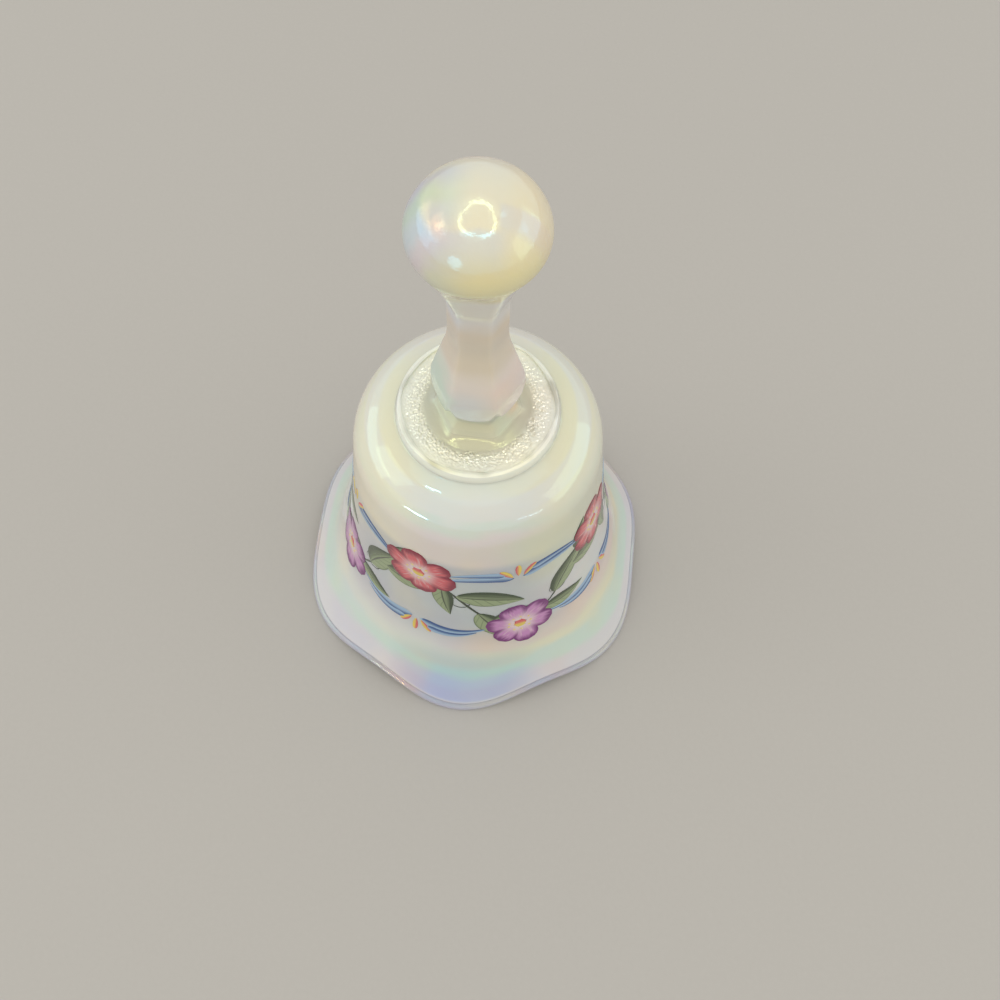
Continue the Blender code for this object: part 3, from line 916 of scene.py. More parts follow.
def bell_radius(sizes, height):
    """Return the radius of the bell's outside between its shoulder and its rim."""
    top = math.exp(-sizes.shoulder_height / sizes.flare_height)
    flare = math.exp(-height / sizes.flare_height) - top
    wall = sizes.wall_taper * (sizes.shoulder_height - height)
    return sizes.shoulder_radius + wall + sizes.flare_reach * flare


def bell_normal(sizes, height):
    """Return the unit vector (radius, height) that points out of the bell's side."""
    growth = sizes.flare_reach / sizes.flare_height * math.exp(-height / sizes.flare_height)
    return Vector((1.0, sizes.wall_taper + growth)).normalized()


def wall_thickness(sizes, height):
    """Return the wall's thickness, which grows evenly from the rim to the shoulder."""
    growth = (sizes.shoulder_wall - sizes.rim_thickness) * height / sizes.shoulder_height
    return sizes.rim_thickness + growth


# How many levels the outline has from the shoulder to the rim, and how they gather at the rim.
WALL_POINTS = 60
RIM_GATHERING = 1.3
GROOVE_POINTS = 16
# How many steps each turned shape has round its axis.
BELL_STEPS = 252
HANDLE_STEPS = 264
BALL_STEPS = 96


def seat_level(sizes):
    """Return the level of the handle's seat in the crown."""
    return sizes.shoulder_height + sizes.shoulder_rounding - sizes.seat_depth


def bell_outline(sizes):
    """Return the bell's outer and inner outlines, which meet at the middle of the rim's lip."""
    out_of_wall = bell_normal(sizes, sizes.shoulder_height)
    join = sizes.shoulder_height + sizes.shoulder_rounding * out_of_wall.y
    ring = bell_radius(sizes, join) - sizes.shoulder_rounding * out_of_wall.x
    seat = seat_level(sizes)
    ceiling = seat - sizes.crown_thickness
    step_end = sizes.seat_radius + sizes.seat_fillet
    start = math.acos((step_end - ring) / sizes.shoulder_rounding)
    end = math.atan2(out_of_wall.y, out_of_wall.x)
    shoulder = arc((ring, sizes.shoulder_height), sizes.shoulder_rounding, start, end)
    top = rounded([
        (0.0, seat, 0.0),
        (sizes.seat_radius - 0.1 * MM, seat, 0.1 * MM),
        (sizes.seat_radius, shoulder[0][1] + sizes.seat_lip, 0.05 * MM),
        (sizes.seat_radius + sizes.seat_fillet * 0.3, shoulder[0][1], 1.6 * MM),
        (*shoulder[2], 0.0),
    ])
    outside = refined(top, 2.5 * MM) + shoulder[3:]

    lip_centre = sizes.lobe_drop + sizes.rim_thickness / 2 - sizes.foot_grinding
    edge = lip_centre + sizes.rim_thickness / 2 * bell_normal(sizes, lip_centre).y
    shares = [(i / WALL_POINTS) ** RIM_GATHERING for i in range(WALL_POINTS - 1, -1, -1)]
    levels = [edge + (join - edge) * part for part in shares]
    above_groove = sizes.groove_height + 3 * sizes.groove_width
    side = [(bell_radius(sizes, level), level) for level in levels if level > above_groove]
    outside += refined(side + [(bell_radius(sizes, above_groove), above_groove)], 2 * MM)
    for i in range(1, GROOVE_POINTS + 1):
        level = above_groove + (edge - above_groove) * i / GROOVE_POINTS
        away = (level - sizes.groove_height) / sizes.groove_width
        dip = bell_normal(sizes, level) * sizes.groove_depth * math.exp(-away ** 2)
        outside.append(tuple(Vector((bell_radius(sizes, level), level)) - dip))

    out = bell_normal(sizes, edge)
    rim = Vector((bell_radius(sizes, edge), edge))
    inner_end = rim - out * wall_thickness(sizes, edge)
    middle = (rim + inner_end) / 2
    lip_angle = math.atan2(out.y, out.x)
    lip = arc(middle, wall_thickness(sizes, edge) / 2, lip_angle, lip_angle - math.pi)[1:-1]

    inside = [tuple(inner_end)]
    for level in levels[-2:0:-1]:
        wall = bell_normal(sizes, level) * wall_thickness(sizes, level)
        inside.append(tuple(Vector((bell_radius(sizes, level), level)) - wall))
    dome_side = sizes.shoulder_radius - sizes.shoulder_wall
    dome_rounding = ceiling - sizes.shoulder_height + sizes.shoulder_wall
    dome_level = ceiling - dome_rounding
    inside = [point for point in inside if point[1] < dome_level - sizes.shoulder_wall / 2]
    inside += arc((dome_side - dome_rounding, dome_level), dome_rounding, 0.0, math.pi / 2)
    socket_top = ceiling + sizes.socket_depth
    mouth = 0.25 * MM
    inside += rounded([
        (sizes.socket_radius + 2 * mouth, ceiling, 0.0),
        (sizes.socket_radius, ceiling, mouth),
        (sizes.socket_radius, socket_top, mouth),
        (0.0, socket_top, 0.0),
    ])
    return outside, lip, inside


def crimped(sizes, point):
    """Return where crimping the rim moves a point, with azimuths counted from the front lobe."""
    part = smooth_share(1 - point.z / sizes.ruffle_height)
    azimuth = math.atan2(point.y, point.x)
    wave = math.cos(sizes.lobes * azimuth)
    lean = math.cos(azimuth - sizes.lean_azimuth)
    reach = part * (sizes.lobe_reach * wave + sizes.rim_lean * lean)
    outward = Vector((math.cos(azimuth), math.sin(azimuth), 0.0))
    return point + outward * reach - Vector((0.0, 0.0, part * sizes.lobe_drop * wave))


def bell_shape(sizes):
    """Return the bell's glass: spun, crimped at the rim, and ground where it stands."""
    outside, lip, inside = bell_outline(sizes)
    shape = turned(outside + lip + inside, BELL_STEPS)
    level_layer = shape.verts.layers.float.new("level")
    swell_layer = shape.verts.layers.float.new("swell")
    film_layer = shape.verts.layers.float.new("film")
    lip_end = lip[len(lip) * 2 // 3]
    dome_radius = sizes.shoulder_radius - sizes.shoulder_wall
    seat = seat_level(sizes)
    for vertex in shape.verts:
        height = vertex.co.z
        radius = math.hypot(vertex.co.x, vertex.co.y)
        wall = bell_radius(sizes, height) - wall_thickness(sizes, height)
        # The margins are less than half the thickness of the glass.
        on_side = height < sizes.shoulder_height and radius > wall + 0.3 * MM
        on_crown = height > sizes.shoulder_height and radius > dome_radius + 0.2 * MM
        on_top = height > seat - 1 * MM
        in_socket = radius < sizes.socket_radius + 0.1 * MM and height < HANDLE_BASE - 0.4 * MM
        under_lip = radius < lip_end[0] and height < sizes.rim_thickness
        outside_face = (on_side or on_crown or on_top) and not in_socket and not under_lip
        vertex[level_layer] = height
        vertex[swell_layer] = math.cos(2 * math.atan2(vertex.co.y, vertex.co.x))
        vertex[film_layer] = 1.0 if outside_face else 0.0
        vertex.co = crimped(sizes, vertex.co)
    geometry = shape.verts[:] + shape.edges[:] + shape.faces[:]
    cut = bmesh.ops.bisect_plane(
        shape, geom=geometry, plane_co=(0, 0, 0), plane_no=(0, 0, -1), clear_outer=True
    )
    bmesh.ops.holes_fill(shape, edges=only(bmesh.types.BMEdge, cut["geom_cut"]), sides=0)
    spun = Matrix.Rotation(sizes.front_azimuth, 4, "Z")
    bmesh.ops.transform(shape, matrix=spun, verts=shape.verts)
    return shape


def stem_levels(sizes):
    """Return the handle's levels by name, counted up from the underside of its disc."""
    lengths = (
        ("disc", sizes.disc_thickness),
        ("foot", sizes.foot_height),
        ("ledge", sizes.foot_ledge),
        ("waist", sizes.waist_length),
        ("knop_edge", sizes.knop_undercut),
        ("knop", sizes.knop_length),
        ("neck_base", sizes.knop_taper),
        ("neck_top", sizes.neck_length),
        ("knob", sizes.knob_rise),
    )
    levels = {}
    total = 0.0
    for name, rise in lengths:
        total += rise
        levels[name] = total
    return levels


STEM_SPACING = 0.75 * MM
DISC_SPACING = 0.3 * MM


def handle_outline(sizes, levels):
    """Return the handle's outline from the top of the knob to the middle of its underside."""
    ball = (0.0, levels["knob"])
    inward = sizes.knob_radius - sizes.knob_heel
    heel = (inward * math.cos(sizes.knob_turn), levels["knob"] + inward * math.sin(sizes.knob_turn))
    knob = arc(ball, sizes.knob_radius, math.pi / 2, sizes.knob_turn)
    knob += arc(heel, sizes.knob_heel, sizes.knob_turn, -sizes.knob_lean)[1:]
    knob = [(radius * sizes.knob_spread, height) for radius, height in knob]
    stem = rounded([
        (*knob[-1], 0.0),
        (sizes.neck_radius, levels["neck_top"], 10 * MM),
        (sizes.neck_radius, levels["neck_base"], 16 * MM),
        (sizes.knop_radius, levels["knop"], 8 * MM),
        (sizes.knop_radius, levels["knop_edge"] + sizes.knop_lip, 1 * MM),
        (sizes.knop_radius - sizes.knop_lip, levels["knop_edge"], 0.3 * MM),
        (sizes.waist_radius, levels["waist"], 1.2 * MM),
        (sizes.waist_radius, levels["ledge"], 1.2 * MM),
        (sizes.foot_radius, levels["foot"], 0.8 * MM),
        (sizes.foot_spread, levels["disc"], 2.0 * MM),
        (sizes.foot_spread + 1.6 * MM, levels["disc"], 0.0),
    ])
    bead_centre = sizes.disc_radius - sizes.disc_draft - sizes.bead_radius
    bead = arc((bead_centre, levels["disc"]), sizes.bead_radius, math.pi, 0.0)
    flat = refined([stem[-1], bead[0]], DISC_SPACING)[1:-1]
    flank = rounded([
        bead[-1] + (0.0,),
        (sizes.disc_radius - 0.1 * MM, 0.5 * MM, 0.3 * MM),
        (sizes.disc_radius, 0.0, 0.0),
    ])[1:]
    return knob[:-1] + refined(stem, STEM_SPACING) + flat + bead + flank + [(0.0, 0.0)]


def pressed_stem(sizes, levels, shape):
    """Press the flat panels into the stem, and scallop the knop's lower edge between them."""
    half_panel = math.pi / sizes.panels
    for vertex in shape.verts:
        x, y, z = vertex.co
        above_disc = smooth_share((z - levels["disc"]) / (sizes.foot_height / 2))
        below_knob = smooth_share((levels["neck_top"] + sizes.panel_rise - z) / sizes.panel_fade)
        over_edge = smooth_share(1 - (z - levels["knop_edge"]) / sizes.knop_length)
        under_edge = smooth_share((z - levels["waist"]) / sizes.knop_undercut)
        scallop = over_edge * under_edge

        from_middle = abs(math.remainder(math.atan2(y, x), 2 * half_panel))
        softness = sizes.arris * (1 + 2 * (1 - scallop))
        soft = half_panel - math.hypot(half_panel - from_middle, softness)
        panel = math.cos(half_panel) / math.cos(soft)
        corner = (1 - sizes.corner_cut * scallop) / math.cos(half_panel - from_middle)
        scale = 1 + above_disc * below_knob * (min(panel, corner) - 1)
        vertex.co.x *= scale
        vertex.co.y *= scale
        vertex.co.z += sizes.corner_raise * scallop * (from_middle / half_panel) ** 2


# The stippling's edge round the foot is ragged, and its relief grows over a width inside the bead.
RAGGED_GRAIN = 2.4 * MM
RAGGED_REACH = 0.9 * MM
RELIEF_WIDTH = 4.0 * MM
LEAST_RELIEF = 0.22


def bead_inside(sizes):
    """Return the radius of the disc's top inside its bead."""
    return sizes.disc_radius - sizes.disc_draft - 2 * sizes.bead_radius


def stippled_disc(sizes, levels, shape):
    """Roughen the disc's top between the foot and the bead with fine irregular stipples."""
    inner = sizes.foot_spread + 0.5 * MM
    outer = bead_inside(sizes)
    pit_shade_layer = shape.verts.layers.float["pit"]
    stipple_layer = shape.verts.layers.float["stipple"]
    for vertex in shape.verts:
        radius = math.hypot(vertex.co.x, vertex.co.y)
        if abs(vertex.co.z - levels["disc"]) > 0.4 * MM or not inner < radius < outer:
            continue
        ragged = noise.noise(vertex.co / RAGGED_GRAIN) * RAGGED_REACH
        from_foot = smooth_share((radius + ragged - inner) / RAGGED_REACH)
        from_bead = smooth_share((outer - radius) / RELIEF_WIDTH)
        strength = from_foot * (LEAST_RELIEF + (1 - LEAST_RELIEF) * from_bead)
        place = vertex.co / sizes.stipple_grain
        rough = noise.noise(place) + 0.6 * noise.noise(place * 1.9 + Vector((3.1, 5.7, 1.3)))
        vertex.co.z += sizes.stipple_depth * strength * rough
        # This share marks the stipples' hollows, which the handle's colour darkens with painted
        # shade.
        vertex[pit_shade_layer] = strength * smooth_share(0.5 - rough)
        vertex[stipple_layer] = strength


def handle_shape(sizes, front_azimuth):
    """Return the handle: knob, panelled neck, knop, foot and disc in one piece of glass."""
    levels = stem_levels(sizes)
    shape = turned(handle_outline(sizes, levels), HANDLE_STEPS)
    shape.verts.layers.float.new("pit")
    shape.verts.layers.float.new("stipple")
    inner = sizes.foot_spread + 0.4 * MM
    outer = bead_inside(sizes) - 0.3 * MM
    ring_edges = []
    for edge in shape.edges:
        middle = (edge.verts[0].co + edge.verts[1].co) / 2
        radius = math.hypot(middle.x, middle.y)
        if inner < radius < outer and abs(middle.z - levels["disc"]) < 0.3 * MM:
            ring_edges.append(edge)
    bmesh.ops.subdivide_edges(shape, edges=ring_edges, cuts=1, use_grid_fill=True)
    pressed_stem(sizes, levels, shape)
    stippled_disc(sizes, levels, shape)
    place = Matrix.Translation((0, 0, HANDLE_BASE)) @ Matrix.Rotation(front_azimuth, 4, "Z")
    bmesh.ops.transform(shape, matrix=place, verts=shape.verts)
    return shape


WIRE_SIDES = 24
EYE_POINTS = 72
STEM_POINTS = 8
LINK_END_POINTS = 24
LINK_SIDE_POINTS = 6


def path_frames(points, closed):
    """Return a matrix at each point of a flat path, its Z along the path and its X square to it."""
    side = Vector((0.0, 1.0, 0.0))
    if max(abs(point.x) for point in points) < WELD:
        side = Vector((1.0, 0.0, 0.0))
    frames = []
    last = len(points) - 1
    for i, point in enumerate(points):
        before = points[i - 1] if i or closed else point
        after = points[(i + 1) % len(points)] if i < last or closed else point
        along = (after - before).normalized()
        cross = along.cross(side).normalized()
        axes = Matrix((side, cross, along)).transposed()
        frames.append(Matrix.Translation(point) @ axes.to_4x4())
    return frames


def wire_shape(points, radius, closed=False, widths=None):
    """Return a round wire swept along points by extruding a circle from one to the next."""
    shape = bmesh.new()
    frames = path_frames(points, closed)
    scales = widths or [1.0] * len(points)
    bmesh.ops.create_circle(shape, cap_ends=False, segments=WIRE_SIDES, radius=radius)
    ring = shape.edges[:]
    bmesh.ops.transform(shape, matrix=frames[0] @ Matrix.Scale(scales[0], 4), verts=shape.verts)
    first = ring
    for i in range(1, len(points)):
        old = frames[i - 1] @ Matrix.Scale(scales[i - 1], 4)
        new = frames[i] @ Matrix.Scale(scales[i], 4)
        grown = bmesh.ops.extrude_edge_only(shape, edges=ring)["geom"]
        verts = only(bmesh.types.BMVert, grown)
        edges = only(bmesh.types.BMEdge, grown)
        ring = [edge for edge in edges if all(vertex in verts for vertex in edge.verts)]
        bmesh.ops.transform(shape, matrix=new @ old.inverted(), verts=verts)
    if closed:
        bmesh.ops.bridge_loops(shape, edges=first + ring)
    else:
        bmesh.ops.holes_fill(shape, edges=first + ring, sides=0)
    bmesh.ops.recalc_face_normals(shape, faces=shape.faces)
    return shape


def along_arc(centre, radius, start, end, steps, flip=1.0):
    """Return points of an arc in the XZ plane."""
    angles = [start + (end - start) * i / steps for i in range(steps + 1)]
    return [
        Vector((centre[0] + radius * math.cos(a), 0.0, centre[1] + flip * radius * math.sin(a)))
        for a in angles
    ]


def eye_path(sizes, centre, stem_length, flip):
    """Return the path of an eye from its stem, which is above it (flip 1) or below it (-1)."""
    start = math.pi / 2 - sizes.eye_lean
    opening = 2 * math.asin((sizes.wire_diameter + sizes.eye_gap) / 2 / sizes.eye_radius)
    end = start - math.tau + opening
    ring = along_arc((0.0, centre), sizes.eye_radius, start, end, EYE_POINTS, flip)
    neck = Vector((0.0, 0.0, centre + flip * (sizes.eye_radius + sizes.eye_drop)))
    tip = Vector((0.0, 0.0, neck.z + flip * stem_length))
    stem = [tip.lerp(neck, i / STEM_POINTS) for i in range(STEM_POINTS + 1)]
    pulled = neck.lerp(ring[0], 0.55)
    bend = []
    for i in range(1, STEM_POINTS + 1):
        part = i / (STEM_POINTS + 1)
        bend.append(neck.lerp(pulled, part).lerp(pulled.lerp(ring[0], part), part))
    return stem + bend + ring


def link_path(sizes, low, high, crosswise):
    """Return the closed path of an oval link between two levels."""
    end_radius = (sizes.link_width - sizes.wire_diameter) / 2
    upper = high - sizes.wire_diameter / 2 - end_radius
    lower = low + sizes.wire_diameter / 2 + end_radius
    falls = [(lower - upper) * i / LINK_SIDE_POINTS for i in range(1, LINK_SIDE_POINTS)]
    path = along_arc((0.0, upper), end_radius, 0.0, math.pi, LINK_END_POINTS)
    path += [Vector((-end_radius, 0.0, upper + fall)) for fall in falls]
    path += along_arc((0.0, lower), end_radius, math.pi, math.tau, LINK_END_POINTS)
    path += [Vector((end_radius, 0.0, lower - fall)) for fall in falls]
    if crosswise:
        path = [Vector((0.0, point.x, point.z)) for point in path]
    return path


# How far down the pin's head each of its rings lies, and how wide it is, as shares of the head.
PIN_HEAD = (
    (0.00625, 0.9),
    (0.08, 0.98),
    (0.3, 1.0),
    (0.6, 0.96),
    (0.8, 0.84),
    (0.93, 0.62),
    (1.0, 0.3),
)


# How far under the handle's base the plug of cement starts to narrow, just below the socket.
CEMENT_EDGE = 5.9 * MM


def cement_shape(sizes):
    """Return the plug of cement, with a slightly lumpy underside round the wire."""
    low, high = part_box("crown_cement")
    edge = HANDLE_BASE - CEMENT_EDGE
    bore = sizes.wire_diameter / 2 + sizes.clearance / 3
    shank_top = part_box("crown_eye")[1].z + 0.05 * MM
    outline = rounded([
        (0.0, high.z, 0.0),
        (sizes.cement_radius, high.z, 0.3 * MM),
        (sizes.cement_radius, edge, 0.2 * MM),
        (sizes.cement_radius * 0.62, low.z + 0.12 * MM, 1.2 * MM),
        (bore, low.z, 0.1 * MM),
        (bore, shank_top, 0.0),
        (0.0, shank_top, 0.0),
    ])
    shape = turned(refined(outline, 0.25 * MM), BALL_STEPS)
    for vertex in shape.verts:
        radius = math.hypot(vertex.co.x, vertex.co.y)
        if vertex.co.z < edge + 0.1 * MM and radius > bore + 0.15 * MM:
            lump = noise.noise(vertex.co / (1.1 * MM)) + 0.4 * noise.noise(vertex.co / (0.45 * MM))
            vertex.co.z += 0.09 * MM * (lump + 1.0)
    return shape


def ball_shape(sizes):
    """Return the bored glass ball of the clapper, its bore's edges rounded."""
    low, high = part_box("clapper_ball")
    radius = (high.x - low.x) / 2
    centre = (low.z + high.z) / 2
    bore = sizes.wire_diameter / 2 + sizes.clearance
    rounding = 0.25 * MM
    lean = math.asin((bore + rounding) / radius)
    outside = arc((0.0, centre), radius, math.pi / 2 - lean, lean - math.pi / 2)
    reach = outside[0][1] - centre
    inner = reach - rounding
    outline = outside + [(bore, centre - inner), (bore, centre), (bore, centre + inner)]
    return turned(outline, BALL_STEPS, closed=True)


# Steps in azimuth and in height over which the skin's slope is taken.
TURN_STEP = 0.004
RISE_STEP = 0.2 * MM
# A share of a stroke's length, over which the heading of its middle line is taken.
SPINE_STEP = 0.01


def skin_point(sizes, azimuth, height):
    """Return the point of the bell's outside at an azimuth and a height of the plain wall."""
    local = azimuth - sizes.front_azimuth
    radius = bell_radius(sizes, height)
    plain = Vector((radius * math.cos(local), radius * math.sin(local), height))
    return Matrix.Rotation(sizes.front_azimuth, 3, "Z") @ crimped(sizes, plain)


def skin_normal(sizes, azimuth, height):
    """Return the unit vector that points out of the bell's side."""
    left, right = (skin_point(sizes, azimuth + step, height) for step in (-TURN_STEP, TURN_STEP))
    low, high = (skin_point(sizes, azimuth, height + step) for step in (-RISE_STEP, RISE_STEP))
    return (right - left).cross(high - low).normalized()


# Shares of the enamel's height: at a stroke's edge, for each layer under it, and down in the glass.
EDGE_HEIGHT = 0.35
LAYER_HEIGHT = 0.45
SUNK_HEIGHT = 0.6
# A stroke narrower than twice this is lower in its middle too.
FULL_HALF_WIDTH = 0.6 * MM


class Paint:
    """Brush strokes of one enamel, laid on the bell's side."""

    def __init__(self, sizes, height):
        self.sizes = sizes
        self.height = height
        self.shape = bmesh.new()
        self.along = self.shape.verts.layers.float.new("along")
        self.across = self.shape.verts.layers.float.new("across")
        self.tone = self.shape.verts.layers.float.new("tone")

    def on_skin(self, spot, offset, lift):
        """Return the place of an offset (right, up) from a spot (azimuth, height)."""
        azimuth, height = spot
        level = height + offset.y
        around = azimuth + offset.x / bell_radius(self.sizes, level)
        return skin_point(self.sizes, around, level) + skin_normal(self.sizes, around, level) * lift

    def offset(self, vertex, spine, width):
        """Return how far (right, up) a vertex of a stroke lies from the stroke's spot."""
        along = vertex[self.along]
        ahead = spine(min(along + SPINE_STEP, 1.0)) - spine(max(along - SPINE_STEP, 0.0))
        square = Vector((-ahead.y, ahead.x)).normalized()
        return spine(along) + square * vertex[self.across] * width(along)

    def stroke(self, spot, spine, width, tone, layer=0, steps=(14, 4)):
        """Lay a stroke: spine and width give its middle line and half width from 0 to 1."""
        made = bmesh.ops.create_grid(self.shape, x_segments=steps[0], y_segments=steps[1], size=1.0)
        under = made["verts"]
        for vertex in under:
            vertex[self.along] = (vertex.co.x + 1) / 2
            vertex[self.across] = vertex.co.y
            vertex[self.tone] = tone
        faces = list({face for vertex in under for face in vertex.link_faces})
        grown = bmesh.ops.extrude_face_region(self.shape, geom=faces)["geom"]
        over = only(bmesh.types.BMVert, grown)
        for vertex in over:
            fullness = min(width(vertex[self.along]) / FULL_HALF_WIDTH, 1.0)
            crown = math.sqrt(max(1 - vertex[self.across] ** 2, 0.0)) * fullness
            lift = self.height * (EDGE_HEIGHT + (1 - EDGE_HEIGHT) * crown + LAYER_HEIGHT * layer)
            vertex.co = self.on_skin(spot, self.offset(vertex, spine, width), lift)
        for vertex in under:
            lift = -SUNK_HEIGHT * self.height
            vertex.co = self.on_skin(spot, self.offset(vertex, spine, width), lift)
        bmesh.ops.remove_doubles(self.shape, verts=under + over, dist=WELD)

    def dot(self, spot, offset, radius, tone):
        """Lay a round dot, domed like a drop of enamel."""
        self.stroke(
            spot,
            lambda part: offset + Vector((radius * (2 * part - 1), 0.0)),
            lambda part: radius * math.sqrt(max(1 - (2 * part - 1) ** 2, 0.0)),
            tone,
            layer=4,
            steps=(8, 6),
        )

    def finish(self, name, material):
        """Make the strokes one piece on the bell."""
        bmesh.ops.recalc_face_normals(self.shape, faces=self.shape.faces)
        return make_piece(name, self.shape, material, "bell", sharp=math.radians(70))


def petal_width(half, fullest=1.35):
    """Return the half width of a round-ended petal that is fullest past its middle."""
    return lambda part: half * math.sqrt(max(1 - (2 * part ** fullest - 1) ** 2, 0.0))


def leaf_width(half):
    """Return the half width of an almond-shaped leaf with a drawn-out tip."""
    return lambda part: half * math.sin(math.pi * part ** 0.8) ** 0.9 * (1 - 0.25 * part)


def brush_width(half):
    """Return the half width of a stroke that lands full and lifts off to a point."""
    return lambda part: half * min(1.0, part / 0.12) ** 0.5 * (1 - part) ** 0.6


# A stroke that turns less than this is laid straight.
UNBENT = 0.001


def pointing(heading):
    """Return the unit vector (right, up) that points along a heading."""
    return Vector((math.cos(heading), math.sin(heading)))


def curve_from(start, heading, reach, bend):
    """Return a middle line that starts at a point and turns evenly by bend over its length."""

    def line(part):
        if abs(bend) < UNBENT:
            return start + pointing(heading) * reach * part
        radius = reach / bend
        angle = heading + bend * part
        return start + Vector((
            radius * (math.sin(angle) - math.sin(heading)),
            radius * (math.cos(heading) - math.cos(angle)),
        ))

    return line


FLOWER_DOTS = 9
# A leaf's side of the vine, its place from the middle of the half wave, and its size.
LEAVES = ((1, -0.06, 1.0), (-1, 0.05, 0.92), (1, 0.12, 0.7), (-1, -0.13, 0.74))
# Where the vine comes out beside a flower and how far it runs, as shares of a wave.
VINE_START = 0.13
VINE_RUN = 0.24
QUARTER_WAVE = 0.25
# How steeply the vine runs halfway between two flowers.
VINE_SLOPE = 0.62
TENDRIL_REACH = 9 * MM
BUD_HALF_WIDTH = 0.85 * MM


def vine_spot(garland, part):
    """Return the azimuth and height of the vine, with part counting its waves from a crest."""
    azimuth = garland.start + math.tau * part / garland.waves
    return azimuth, garland.middle + garland.swing * math.cos(math.tau * part)


def flower_spots(garland):
    """Return each flower's place, and whether it is one of the red ones."""
    return [(vine_spot(garland, i / 2), i % 2 == 0) for i in range(2 * garland.waves)]


def settings_of(context):
    """Return the scene's sizes of the bell and of the garland, and its colours."""
    scene = context.scene
    return scene.bell_sizes, scene.garland_sizes, scene.finish_colours


class BELL_OT_body(bpy.types.Operator):
    """Make the bell's glass body"""

    bl_idname = "glass_bell.body"
    bl_label = "Bell Body"

    def execute(self, context):
        shape = bell_shape(context.scene.bell_sizes)
        material = bell_finish(context.scene.finish_colours)
        piece = make_piece("bell_glass", shape, material, "bell", ["bell_body"])
        bpy.data.collections[BELL_LIGHT].objects.link(piece)
        return {"FINISHED"}


class BELL_OT_handle(bpy.types.Operator):
    """Make the glass handle"""

    bl_idname = "glass_bell.handle"
    bl_label = "Handle"

    def execute(self, context):
        shape = handle_shape(context.scene.handle_sizes, context.scene.bell_sizes.front_azimuth)
        material = handle_finish(context.scene.finish_colours)
        piece = make_piece("handle_glass", shape, material, "bell", ["handle"])
        bpy.data.collections[HANDLE_LIGHT].objects.link(piece)
        return {"FINISHED"}


class BELL_OT_crown(bpy.types.Operator):
    """Make the cement in the crown and the wire eye that it holds"""

    bl_idname = "glass_bell.crown"
    bl_label = "Crown Fitting"

    def execute(self, context):
        sizes = context.scene.wire_sizes
        colours = context.scene.finish_colours
        plug = cement_shape(sizes)
        material = cement_finish(colours)
        make_piece("socket_cement", plug, material, "bell", ["crown_cement"])
        low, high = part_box("crown_eye")
        centre = low.z + sizes.wire_diameter / 2 + sizes.eye_radius
        stem = high.z - centre - sizes.eye_radius - sizes.eye_drop
        eye = wire_shape(eye_path(sizes, centre, stem, 1.0), sizes.wire_diameter / 2)
        make_piece("wire_eye", eye, wire_finish(colours), "bell", ["crown_eye"])
        return {"FINISHED"}


class BELL_OT_chain(bpy.types.Operator):
    """Make the links of the chain"""

    bl_idname = "glass_bell.chain"
    bl_label = "Chain"

    def execute(self, context):
        sizes = context.scene.wire_sizes
        material = wire_finish(context.scene.finish_colours)
        links = sum(name.startswith("chain_link_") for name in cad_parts)
        for number in range(1, 1 + links):
            node = f"chain_link_{number}"
            low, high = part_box(node)
            path = link_path(sizes, low.z, high.z, crosswise=number % 2 == 1)
            shape = wire_shape(path, sizes.wire_diameter / 2, closed=True)
            body = f"link_{number}"
            make_piece(f"wire_link_{number}", shape, material, body, [node])
        return {"FINISHED"}


class BELL_OT_clapper(bpy.types.Operator):
    """Make the clapper's ball and the pin that carries it"""

    bl_idname = "glass_bell.clapper"
    bl_label = "Clapper"

    def execute(self, context):
        sizes = context.scene.wire_sizes
        colours = context.scene.finish_colours
        ball = ball_shape(sizes)
        material = ball_finish(colours)
        make_piece("clapper_bead", ball, material, "clapper", ["clapper_ball"])
        low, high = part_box("clapper_pin")
        radius = sizes.wire_diameter / 2
        centre = high.z - radius - sizes.eye_radius
        head_top = low.z + sizes.head_length
        stem = centre - sizes.eye_radius - sizes.eye_drop - head_top
        path = eye_path(sizes, centre, stem, -1.0)[::-1]
        widths = [1.0] * len(path)
        for down, width in PIN_HEAD:
            path.append(Vector((0.0, 0.0, head_top - sizes.head_length * down)))
            widths.append(sizes.head_radius / radius * width)
        pin = wire_shape(path, radius, widths=widths)
        material = wire_finish(colours)
        make_piece("clapper_wire", pin, material, "clapper", ["clapper_pin"])
        return {"FINISHED"}


